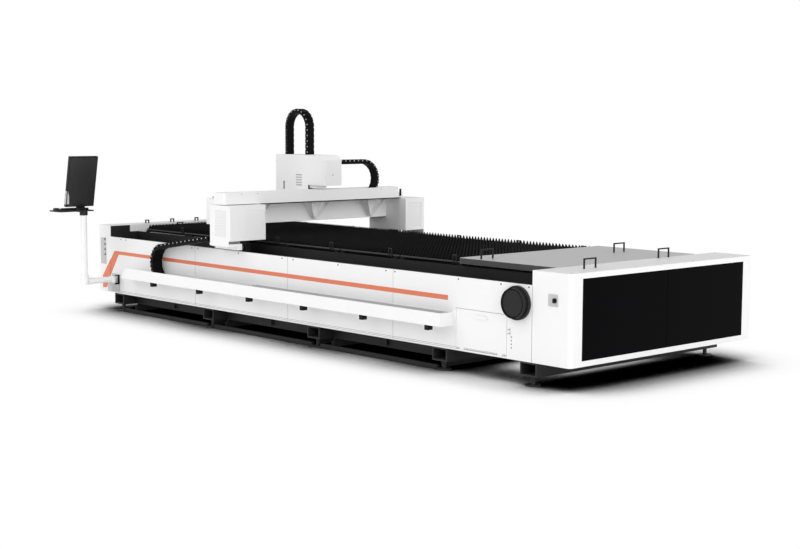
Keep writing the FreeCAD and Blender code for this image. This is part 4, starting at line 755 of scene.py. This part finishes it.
@dataclass
class DustDuct(Assembly):
    """The inside of the round extraction port: its black liner, painted shade over the way and the
    panel face inside the bore, its damper, its bolts and its rim.
    """

    middle_x: float = -0.683
    middle_z: float = 0.817
    bore: float = 0.1365
    half_way: float = 0.0895
    way_end: float = 0.431
    skin: float = 0.001
    bolt_circle: float = 0.161
    bolt_count: int = 8
    shade_liner_profile: Outline = (
        (0.126, -0.001), (0.1372, -0.001), (0.1372, -0.088), (0.1366, -0.088), (0.1366, -0.002),
        (0.126, -0.002),
    )
    damper_profile: Outline = (
        (0.0, 0.0), (0.1345, 0.0), (0.1352, 0.0006), (0.1352, 0.0024), (0.1345, 0.0030),
        (0.0, 0.0030),
    )
    rim_profile: Outline = (
        (0.1385, 0.0), (0.1500, 0.0), (0.1502, -0.002), (0.1494, -0.0035), (0.1400, -0.0035),
        (0.1385, 0.0),
    )
    wears = {
        "duct_shade_liner": BASE_BLACK,
        "duct_damper": Wear(BLACK_PLASTIC, Body.BASE, "black_paint"),
        "duct_bolts": BASE_SCREWS,
        "duct_rim": Wear(DULL_GREY, Body.BASE, "black_paint"),
    }

    def build(self) -> tuple[Shape, ...]:
        """Shape the duct's pieces."""
        x, z, half, skin, end = (
            self.middle_x, self.middle_z, self.half_way, self.skin, self.way_end
        )
        # painted shade: a flat black liner over the way and over the panel face inside the bore,
        # where the white paint would show
        shade_liner = Shape()
        shade_liner.block((x - half, 0.0, z + half - skin), (x + half, end, z + half))
        shade_liner.block((x - half, 0.0, z - half), (x + half, end, z - half + skin))
        for left in (x - half, x + half - skin):
            shade_liner.block((left, 0.0, z - half + skin), (left + skin, end, z + half - skin))
        shade_liner.turned(self.shade_liner_profile, (x, 0.0, z), TO_BACK, 48)
        reach = math.acos(half / self.bore) + 0.01
        for quarter in range(4):
            turns = [quarter * math.pi / 2 + reach * (step / 6 - 1) for step in range(13)]
            shade_liner.plate(
                [(x + self.bore * math.cos(t), z + self.bore * math.sin(t)) for t in turns],
                Axis.Y, -0.0035, -0.0008 - 0.0002 * quarter,
            )
        damper = Shape().turned(self.damper_profile, (x, -0.0830, z), TO_BACK, 64)
        damper.rod((x - self.bore, -0.0770, z), (x + self.bore, -0.0770, z), 0.005, 12)
        bolts = Shape()
        for step in range(self.bolt_count):
            turn = math.tau * (step + 0.5) / self.bolt_count
            across, up = self.bolt_circle * math.cos(turn), self.bolt_circle * math.sin(turn)
            bolts.rod((x + across, -0.034, z + up), (x + across, -0.040, z + up), 0.006, 6)
        rim = Shape().turned(self.rim_profile, (x, -0.0885, z), TO_BACK, 64)
        return shade_liner, damper, bolts, rim


@dataclass
class CableTray(Assembly):
    """The blocks, the clips and the stiff conduits of the cable tray along the front side."""

    count: int = 6
    first: float = -1.810
    pitch: float = 1.034
    clip_behind: float = 0.24
    clip_half: float = 0.022
    conduit: float = 0.0225
    conduit_pitch: float = 0.058
    conduit_end: float = -4.905
    floor: float = 0.4990
    wears = {
        "tray_blocks": BASE_BLACK,
        "tray_clips": Wear(WHITE_PAINT, Body.BASE, "white_paint"),
        "tray_bolts": BASE_SCREWS,
        "tray_conduits": Wear(CONDUIT_GREY, Body.BASE, "grey_paint"),
    }

    def build(self) -> tuple[Shape, ...]:
        """Shape the tray's pieces."""
        low, high = span("cable_tray")
        y = low.y
        blocks, clips, bolts, conduits = Shape(), Shape(), Shape(), Shape()
        for step in range(self.count):
            x = self.first - step * self.pitch
            blocks.block(
                (x - 0.0220, y + 0.004, low.z - 0.008), (x + 0.0340, y + 0.075, 0.4948), 0.003
            )
            clip = x - self.clip_behind
            left, right = clip - self.clip_half, clip + self.clip_half
            clips.block((left, y - 0.004, 0.492), (right, y + 0.0005, 0.522), 0.0015)
            clips.block((left, y - 0.004, 0.489), (right, y + 0.030, 0.4935), 0.0015)
            for side in (-0.012, 0.024):
                bolts.rod((x + side, y + 0.005, 0.470), (x + side, y + 0.001, 0.470), 0.006, 6)
        for row in range(3):
            for layer in range(3):
                across = y + 0.034 + self.conduit_pitch * row
                up = self.floor + self.conduit * (1 + 2 * layer)
                conduits.rod(
                    (self.conduit_end, across, up), (high.x - 0.012, across, up), self.conduit, 14
                )
        return blocks, clips, bolts, conduits


# ---- bed


@dataclass
class SlatTable(Assembly):
    """The slat modules with all their slats and teeth, the rims of their frames and a lug."""

    modules: int = 6
    slats: int = 20
    teeth: int = 39
    foot: float = 1.064
    root: float = 1.1180
    tip: float = 1.1600
    slat_start: float = 0.459
    slat_length: float = 2.082
    half_slat: float = 0.0025
    bars: Row = (0.450, 1.496, 2.542)
    bar: float = 0.008
    bar_low: float = 1.086
    bar_high: float = 1.106
    pad: float = 0.060
    pad_inset: float = 0.020
    rims: Row = (0.4485, 2.5495)
    wears = {
        **{
            f"fine_slats_{number}": Wear(
                DARK_STEEL, Body.BASE, "dark_steel", (f"slat_module_{number}",)
            )
            for number in range(1, 7)
        },
        "table_edge": Wear(DULL_GREY, Body.BASE, "dark_steel"),
        "end_lug": BASE_BLACK,
    }

    def build(self) -> tuple[Shape, ...]:
        """Shape the slat modules, the rims and the lug."""
        places = [span(f"slat_module_{number + 1}") for number in range(self.modules)]
        rims = Shape()
        for low, high in places:
            for y in self.rims:
                rims.block((low.x + 0.004, y, 1.092), (high.x - 0.004, y + 0.002, 1.1075))
        lug = Shape()
        for y in (0.920, 1.008):
            lug.block((-8.012, y, 1.110), (-7.996, y + 0.012, 1.177), 0.001)
        lug.block((-8.012, 0.930, 1.165), (-7.996, 1.010, 1.177), 0.001)
        return *(self._module(low, high) for low, high in places), rims, lug

    def _module(self, low: Vector, high: Vector) -> Shape:
        """Shape one module.

        Args:
            low: the low corner of its node.
            high: the high corner of its node.

        Returns:
            The module's frame with its slats.
        """
        shape = Shape()
        for y in self.bars:
            shape.block((low.x, y, self.bar_low), (high.x, y + self.bar, self.bar_high))
        near, far = self.bars[0] + self.bar, self.bars[-1]
        for x in (low.x, high.x - self.bar):
            shape.block((x, near, self.bar_low), (x + self.bar, far, self.bar_high))
        for x in (low.x + self.pad_inset, high.x - self.pad_inset - self.pad):
            shape.block((x, low.y, low.z), (x + self.pad, near, self.bar_low))
            shape.block((x, far, low.z), (x + self.pad, high.y, self.bar_low))
        slat = self._slat()
        pitch = (high.x - low.x) / self.slats
        shape.stamp(slat, [
            Matrix.Translation((high.x - pitch * (step + 0.5), 0.0, 0.0))
            for step in range(self.slats)
        ])
        slat.mesh.free()
        return shape

    def _slat(self) -> Shape:
        """Shape one toothed slat at x = 0."""
        step, end = self.slat_length / self.teeth, self.slat_start + self.slat_length
        outline = [
            (self.slat_start, self.root), (self.slat_start, self.foot), (end, self.foot),
            (end, self.root),
        ]
        for tooth in range(self.teeth, 0, -1):
            edge = self.slat_start + tooth * step
            outline += [
                (edge - 0.06 * step, self.root), (edge - 0.44 * step, self.tip),
                (edge - 0.56 * step, self.tip), (edge - 0.94 * step, self.root),
            ]
        return Shape().plate(outline, Axis.X, -self.half_slat, self.half_slat)


# ---- drag chains

WELL_PAST = 60.0


@dataclass(frozen=True)
class DragChain:
    """One drag chain: a first run, a bend and a last run, each built of nested links.

    The start is the middle of the chain's first end; ahead is the way of the first run and inward
    the way from it to the middle of the bend.
    """

    node: str
    start: Point
    ahead: Point
    inward: Point
    first: float
    radius: float
    turn: float
    last: float
    width: float
    link: float
    still: Body
    moving: Body
    thick: float = 0.058

    def place(self, distance: float) -> Matrix:
        """Find the place of a link.

        Args:
            distance: the distance along the chain's middle line.

        Returns:
            The matrix from a link's own frame: x along, y across and z towards the bend's middle.
        """
        ahead, inward = Vector(self.ahead), Vector(self.inward)
        angle = min(max((distance - self.first) / self.radius, 0.0), self.turn)
        heading = ahead * math.cos(angle) + inward * math.sin(angle)
        inner = inward * math.cos(angle) - ahead * math.sin(angle)
        centre = Vector(self.start) + ahead * self.first + inward * self.radius
        beyond = distance - self.first - angle * self.radius
        point = centre - inner * self.radius + heading * beyond
        turned = Matrix((heading, inner.cross(heading), inner)).transposed().to_4x4()
        return Matrix.Translation(point) @ turned

    def dress(self) -> None:
        """Make the three sections, with links and pins."""
        arc = self.radius * self.turn
        ahead = Vector(self.ahead)
        start, bend = Vector(self.start), Vector(self.start) + ahead * self.first
        across = self.place(0.0).to_3x3().col[1]
        bend_end = self.place(self.first + arc).translation
        last_end = self.place(self.first + arc + self.last).translation
        sections = (
            ("fixed", 0.0, self.first, start, start + (bend - start) * 2.0),
            ("bend", self.first, arc, bend - across * WELL_PAST, bend + across * WELL_PAST),
            ("moving", self.first + arc, self.last, bend_end * 2.0 - last_end, last_end),
        )
        for part, begin, length, low, high in sections:
            count = max(1, round(length / self.link))
            pitch = length / count
            places = [self.place(begin + (step + 0.5) * pitch) for step in range(count)]
            for kind, pattern, finish in (
                ("links", self._link(pitch), CHAIN_PLASTIC),
                ("pins", self._pins(), PIN_PLASTIC),
            ):
                shape = Shape().stamp(pattern, places)
                pattern.mesh.free()
                name = f"{self.node}_{kind}_{part}"
                replaces = (self.node,) if kind == "links" else ()
                made = shape.form(name, Wear(finish, self.still, "chain_plastic", replaces))
                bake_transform(made)
                log.info("%s: %d links", name, count)

    def _link(self, pitch: float) -> Shape:
        """Shape one link in its own frame.

        Args:
            pitch: the link's length.

        Returns:
            The link, with side plates, cross bars and the tongue of the next link.
        """
        half, deep = self.width / 2, self.thick / 2
        end, shoulder, next_end, waist = 0.47 * pitch, 0.40 * pitch, 0.60 * pitch, 0.62 * deep
        link = Shape()
        sides = (
            (-end, -waist), (-shoulder, -deep), (shoulder, -deep), (end, -waist),
            (end, waist), (shoulder, deep), (-shoulder, deep), (-end, waist),
        )
        for side in (-1.0, 1.0):
            link.plate(sides, Axis.Y, side * (half - 0.0075), side * (half - 0.0012))
            inner, outer = sorted((side * (half - 0.011), side * (half - 0.006)))
            link.block((shoulder, inner, -0.66 * deep), (next_end, outer, 0.66 * deep))
            stud = 0.34 * pitch
            link.rod(
                (stud, side * (half - 0.003), 0.0), (stud, side * (half - 0.0002), 0.0),
                0.36 * deep, 12,
            )
            under, over = sorted((side * deep, side * (deep - 0.005)))
            link.block(
                (-0.45 * pitch, -half + 0.008, under), (0.45 * pitch, half - 0.008, over), 0.001, 1
            )
        link.block((shoulder, -half + 0.006, -waist), (next_end, half - 0.006, waist), 0.001, 1)
        return link

    def _pins(self) -> Shape:
        """Shape the light end caps of one link's cross bar, at both sides."""
        pins = Shape()
        half, height = self.width / 2, -0.50 * self.thick / 2
        for side in (-1.0, 1.0):
            pins.rod((0.0, side * (half - 0.003), height), (0.0, side * half, height), 0.0080, 12)
        return pins


def drag_chains() -> tuple[DragChain, ...]:
    """Return the machine's three drag chains, each where its node is."""
    low_x = span("x_drag_chain")[0]
    low_y, high_y = span("y_drag_chain")
    low_z, high_z = span("z_drag_chain")
    deep = DragChain.thick / 2
    y_radius = (high_y.z - low_y.z - 2 * deep) / 2
    z_radius, z_play = 0.210, 0.0016
    z_first = high_z.z - deep - z_radius - z_play - low_z.z
    return (
        DragChain(
            "x_drag_chain", start=(-4.930, low_x.y + 0.075, low_x.z + deep), ahead=TO_FAR,
            inward=UPWARDS, first=1.826, radius=0.226, turn=math.radians(171.1), last=1.094,
            width=0.150, link=0.092, still=Body.BASE, moving=Body.GANTRY,
        ),
        DragChain(
            "y_drag_chain", start=((low_y.x + high_y.x) / 2, 1.180, low_y.z + deep),
            ahead=TO_BACK, inward=UPWARDS, first=0.931, radius=y_radius, turn=math.pi, last=0.434,
            width=0.107, link=0.072, still=Body.GANTRY, moving=Body.CARRIAGE,
        ),
        DragChain(
            "z_drag_chain", start=(high_z.x - deep, (low_z.y + high_z.y) / 2, low_z.z),
            ahead=UPWARDS, inward=TO_FAR, first=z_first, radius=z_radius, turn=math.pi,
            last=z_first, width=0.107, link=0.066, still=Body.CARRIAGE, moving=Body.HEAD,
        ),
    )


# ---- gantry and carriage


@dataclass
class GantryTrim(Assembly):
    """The beam's screws and its tray's end cap, with painted light: a white strip as a highlight
    along the beam's lower edge, a black strip as the shadow under the tray's lip, and the
    carriage's grey baffle as the shade behind its vent slots.
    """

    screw_places: Row = (0.06, 0.30, 2.34, 2.62)
    cover_screws: Outline = ((-6.345, 1.80), (-6.345, 2.06), (-5.40, 1.80), (-5.40, 2.06))
    wears = {
        "beam_highlight_strip": Wear(WHITE_PAINT, Body.GANTRY, "white_paint"),
        "tray_lip_shadow_strip": Wear(FLAT_BLACK, Body.GANTRY, "black_paint"),
        "tray_end_cap": Wear(FLAT_BLACK, Body.GANTRY, "black_plastic"),
        "beam_screws": Wear(BLACK_OXIDE, Body.GANTRY, "dark_steel"),
        "vent_shade_baffle": Wear(GREY_PAINT, Body.CARRIAGE, "grey_paint"),
        "cover_screws": Wear(BLACK_OXIDE, Body.CARRIAGE, "dark_steel"),
    }

    def build(self) -> tuple[Shape, ...]:
        """Shape the gantry's and the carriage's trim."""
        face = span("gantry_beam")[1].x
        x, y = span("beam_cable_tray")[1].xy
        # painted highlight: a white strip along the beam's lower edge
        trim = Shape().block((face - 0.001, 0.340, 1.312), (face + 0.006, 2.660, 1.329), 0.002)
        # painted shadow: a black strip under the tray's front lip, along the beam
        lip_shadow = Shape().block((x - 0.009, 0.345, 1.5640), (x - 0.001, 2.660, 1.5778), 0.001)
        lip_shadow.block((x - 0.009, 2.660, 1.5715), (x - 0.001, y - 0.002, 1.5778), 0.001)
        cap = Shape().block((x - 0.004, y - 0.034, 1.597), (x + 0.0012, y + 0.001, 1.692), 0.001)
        cap.block((face - 0.001, 2.630, 1.306), (face + 0.010, 2.664, 1.3115), 0.001)
        screws = Shape()
        for place in self.screw_places:
            screws.screw((x - 0.0005, place, 1.700), TO_NEAR, 0.005)
        low, high = span("carriage_cover")
        # painted shade: a grey plate behind the carriage's vent slots, so that the slots read dark
        vent_shade = Shape().block(
            (-5.958, low.y + 0.007, 1.742), (-5.810, low.y + 0.009, 1.925), 0.0005
        )
        dots = Shape().screw((high.x - 0.0005, 1.530, 1.900), TO_NEAR, 0.007)
        for place, height in self.cover_screws:
            dots.screw((place, low.y + 0.0005, height), TO_FRONT, 0.0035)
        return trim, lip_shadow, cap, screws, vent_shade, dots


@dataclass
class BedTrim(Assembly):
    """The cover plate's side walls, dark with painted shade, and the screws of the near cabinet's
    lid.
    """

    screw_rows: Row = (-0.455, -0.040)
    screw_places: Row = (0.05, 1.02, 1.98, 2.95)
    wears = {
        "plate_side_shade": Wear(DULL_GREY, Body.BASE, "grey_paint"),
        "lid_screws": BASE_SCREWS,
    }

    def build(self) -> tuple[Shape, ...]:
        """Shape the bed's trim."""
        low, high = span("end_cover_plate")
        sides, screws = Shape(), Shape()
        x, end, z, top = low.x + 0.002, high.x - 0.002, low.z + 0.001, high.z - 0.004
        # painted shade: dark grey sheets over the plate's side walls
        sides.block((x, low.y - 0.0010, z), (end, low.y + 0.0005, top))
        sides.block((x, high.y - 0.0005, z), (end, high.y + 0.0010, top))
        lid = span("near_cabinet_lid")[1].z
        for x in self.screw_rows:
            for y in self.screw_places:
                screws.screw((x, y, lid - 0.0005), UPWARDS, 0.006)
        return sides, screws


# ---- console


@dataclass
class Console(Assembly):
    """The bracket's plate, the keys, the mouse's wheel, and the back and ports of the monitor.

    The monitor's pieces are shaped upright round its hinge and then leaned back with it.
    """

    hinge: Point = (-8.1151, -0.505, 1.411)
    lean: float = 12.0
    foot: float = 0.022
    key_rows: int = 5
    key_columns: int = 16
    key_margin: float = 0.012
    half_key: tuple[float, float] = (0.0085, 0.0095)
    wears = {
        "bracket_plate": BASE_BLACK,
        "key_caps": Wear(KEY_PLASTIC, Body.POLE, "black_plastic"),
        "mouse_wheel": Wear(DULL_GREY, Body.POLE, "black_plastic"),
        "monitor_back": Wear(DARK_PANEL, Body.MONITOR, "black_plastic"),
        "monitor_ports": Wear(GREY_PAINT, Body.MONITOR, "grey_paint"),
        "monitor_screws": Wear(FLAT_BLACK, Body.MONITOR, "dark_steel"),
    }

    def build(self) -> tuple[Shape, ...]:
        """Shape the console's pieces."""
        return self._plate(), self._keys(), self._wheel(), *self._monitor()

    def _plate(self) -> Shape:
        """Shape the plate at the bracket's side, with a slot in which the arm swings."""
        x, y = span("console_bracket")[1].xy
        edge, slot, wall = y - 0.078, y - 0.033, y - 0.002
        plate = Shape().plate(
            (
                (edge, 0.370), (wall, 0.370), (wall, 0.500), (edge, 0.500), (edge, 0.486),
                (slot, 0.486), (slot, 0.394), (edge, 0.394),
            ),
            Axis.X, x - 0.0005, x + 0.0012,
        )
        for z in (0.382, 0.440):
            plate.screw((x + 0.001, y - 0.017, z), TO_NEAR, 0.005)
        return plate

    def _keys(self) -> Shape:
        """Shape the caps of the keyboard's keys."""
        low, high = span("keyboard")
        deep, wide = high.x - low.x - 2 * self.key_margin, high.y - low.y - 2 * self.key_margin
        half_x, half_y = self.half_key
        keys = Shape()
        for row in range(self.key_rows):
            for column in range(self.key_columns):
                x = low.x + self.key_margin + deep * (row + 0.5) / self.key_rows
                y = low.y + self.key_margin + wide * (column + 0.5) / self.key_columns
                keys.block(
                    (x - half_x, y - half_y, high.z - 0.004),
                    (x + half_x, y + half_y, high.z + 0.003), 0.0015, 1,
                )
        return keys

    def _wheel(self) -> Shape:
        """Shape the mouse's wheel."""
        low, high = span("mouse")
        x, y, z = low.x + 0.030, (low.y + high.y) / 2, high.z - 0.006
        return Shape().rod((x, y - 0.004, z), (x, y + 0.004, z), 0.007, 20)

    def _monitor(self) -> tuple[Shape, Shape, Shape]:
        """Shape the monitor's back panel, its ports and its screws."""
        foot = self.foot
        back = Shape().block((-0.0405, -0.222, foot + 0.012), (-0.0370, 0.182, foot + 0.668), 0.003)
        ports = Shape().block(
            (-0.080, -0.2312, foot + 0.030), (-0.046, -0.2295, foot + 0.215), 0.0005
        )
        ports.plate(
            (
                (-0.2205, foot + 0.040), (-0.185, foot + 0.040), (-0.196, foot + 0.150),
                (-0.2205, foot + 0.215),
            ),
            Axis.X, -0.0375, -0.0362,
        )
        screws = Shape()
        for y in (-0.205, 0.165):
            for z in (0.030, 0.650):
                screws.screw((-0.0372, y, foot + z), TO_NEAR, 0.005)
        screws.rod((-0.063, -0.2310, foot + 0.165), (-0.063, -0.2322, foot + 0.165), 0.007)
        lean = Matrix.Rotation(math.radians(self.lean), 4, "Y")
        for shape in (back, ports, screws):
            shape.move(Matrix.Translation(self.hinge) @ lean)
        return back, ports, screws


# ---- studio


@dataclass(frozen=True)
class Lamp:
    """A distant lamp with a broad disc, so that its shadows are soft."""

    name: str
    strength: float
    spread: float
    towards: Point

    def hang(self) -> None:
        """Add the lamp to the scene."""
        data = bpy.data.lights.new(self.name, "SUN")
        data.energy = self.strength
        data.angle = math.radians(self.spread)
        turn = Vector(self.towards).to_track_quat("-Z", "Y")
        add_object(self.name, data).rotation_euler = turn.to_euler()


@dataclass
class Studio:
    """The plain white floor, the soft lamps and the camera at the photographer's place."""

    eye: Point = (13.2402, -11.5777, 2.5981)
    turn: float = 0.8271
    dip: float = 0.1057
    roll: float = 0.0042
    lens_mm: float = 65.26
    clip_end: float = 500.0
    floor_reach: float = 60.0
    floor_drop: float = 0.0005
    world_light: float = 0.53
    lamps: tuple[Lamp, ...] = (
        Lamp("key_lamp", 1.05, 50.0, (0.35, 1.0, -0.9)),
        Lamp("low_lamp", 0.12, 35.0, (0.3, 1.0, -0.06)),
        Lamp("end_lamp", 1.8, 60.0, (-1.0, 0.2, -0.15)),
    )

    def build(self) -> None:
        """Make the floor, the world, the lamps and the camera."""
        self._floor()
        self._world()
        for lamp in self.lamps:
            lamp.hang()
        self._camera()

    def _floor(self) -> None:
        """Lay the floor just under the machine's feet."""
        mesh = bpy.data.meshes.new("floor")
        shape = bmesh.new()
        bmesh.ops.create_grid(shape, x_segments=1, y_segments=1, size=self.floor_reach)
        height = CAD_BOX[0].z - self.floor_drop
        bmesh.ops.translate(shape, vec=(0.0, 0.0, height), verts=shape.verts[:])
        shape.to_mesh(mesh)
        shape.free()
        add_object("floor", mesh)
        mesh.materials.append(self._floor_material())

    def _floor_material(self) -> Material:
        """Make the floor as white as the page, apart from a painted shadow close under the machine.

        Where little of the sky is hidden, or far out, the floor glows white. Where more is
        hidden it is a matt floor whose colour carries a painted shadow, the darker the less of the
        sky reaches it.

        Returns:
            The new material.
        """
        made = bpy.data.materials.new("studio_floor")
        made.use_nodes = True
        tree = made.node_tree
        tree.nodes.clear()
        place = add_node(tree, "TexCoord")
        flat = add_node(tree, "VectorMath", {1: (0.75, 1.3, 0.0)}, operation="MULTIPLY")
        distance = add_node(tree, "VectorMath", operation="LENGTH")
        sky = add_node(tree, "AmbientOcclusion", {"Distance": 0.9}, samples=8)
        smooth = {"interpolation_type": "SMOOTHSTEP"}
        far = add_node(tree, "MapRange", {"From Min": 3.6, "From Max": 7.5}, **smooth)
        clear = add_node(tree, "MapRange", {"From Min": 0.62, "From Max": 0.97}, **smooth)
        # painted shadow: the ambient occlusion darkens the floor's matt colour
        painted_shadow = add_node(
            tree, "MapRange", {"From Min": 0.35, "From Max": 0.92, "To Max": 0.98}, **smooth
        )
        white = add_node(tree, "Math", operation="MAXIMUM")
        matt = add_node(tree, "BsdfDiffuse")
        glow = add_node(tree, "Emission", {"Strength": 1.0})
        mixed = add_node(tree, "MixShader")
        out = add_node(tree, "OutputMaterial")
        join(
            tree,
            (place, "Object", flat, 0),
            (flat, 0, distance, 0),
            (distance, "Value", far, "Value"),
            (sky, "AO", clear, "Value"),
            (sky, "AO", painted_shadow, "Value"),
            (far, "Result", white, 0),
            (clear, "Result", white, 1),
            (painted_shadow, "Result", matt, "Color"),
            (white, 0, mixed, 0),
            (matt, 0, mixed, 1),
            (glow, 0, mixed, 2),
            (mixed, 0, out, "Surface"),
        )
        return made

    def _world(self) -> None:
        """Give the world an even light that the camera sees as white."""
        world = bpy.data.worlds.new("studio")
        bpy.context.scene.world = world
        world.use_nodes = True
        tree = world.node_tree
        sky = tree.nodes["Background"]
        sky.inputs["Color"].default_value = (1.0, 1.0, 1.0, 1.0)
        rays = add_node(tree, "LightPath")
        seen = add_node(tree, "Math", operation="MAXIMUM")
        strength = add_node(tree, "MapRange", {"To Min": self.world_light, "To Max": 1.0})
        join(
            tree,
            (rays, "Is Camera Ray", seen, 0),
            (rays, "Is Transmission Ray", seen, 1),
            (seen, 0, strength, "Value"),
            (strength, "Result", sky, "Strength"),
        )

    def _camera(self) -> None:
        """Set the camera at the place and turn that the photograph gives."""
        ahead = Vector((
            -math.sin(self.turn) * math.cos(self.dip),
            math.cos(self.turn) * math.cos(self.dip),
            -math.sin(self.dip),
        ))
        right = ahead.cross(Vector(UPWARDS)).normalized()
        up = right.cross(ahead)
        cosine, sine = math.cos(self.roll), math.sin(self.roll)
        turned = Matrix((right * cosine + up * sine, up * cosine - right * sine, -ahead))
        data = bpy.data.cameras.new("camera")
        data.lens = self.lens_mm
        data.clip_end = self.clip_end
        camera = add_object("camera", data)
        camera.matrix_world = Matrix.Translation(self.eye) @ turned.transposed().to_4x4()
        bpy.context.scene.camera = camera


def dress_nodes() -> None:
    """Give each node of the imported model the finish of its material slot."""
    for part in frame["record"]["subparts"]:
        node = frame["nodes"][part["node"]]
        finish = NODE_FINISHES.get(part["node"], SLOT_FINISHES[part["material_slot"]])
        node.data.materials.clear()
        node.data.materials.append(finish.material())


def main() -> None:
    """Dress the machine, add its fine pieces and set the studio."""
    logging.basicConfig(level=logging.INFO, format="%(name)s: %(message)s")
    bpy.context.scene.view_settings.view_transform = "Standard"
    dress_nodes()
    log.info("%d nodes dressed", len(frame["nodes"]))
    for assembly in (
        FrontPanel(), DustDuct(), CableTray(), SlatTable(), BedTrim(), GantryTrim(), Console(),
    ):
        assembly.dress()
    for chain in drag_chains():
        chain.dress()
    Studio().build()
    log.info("studio ready")


if __name__ == "__main__":
    main()
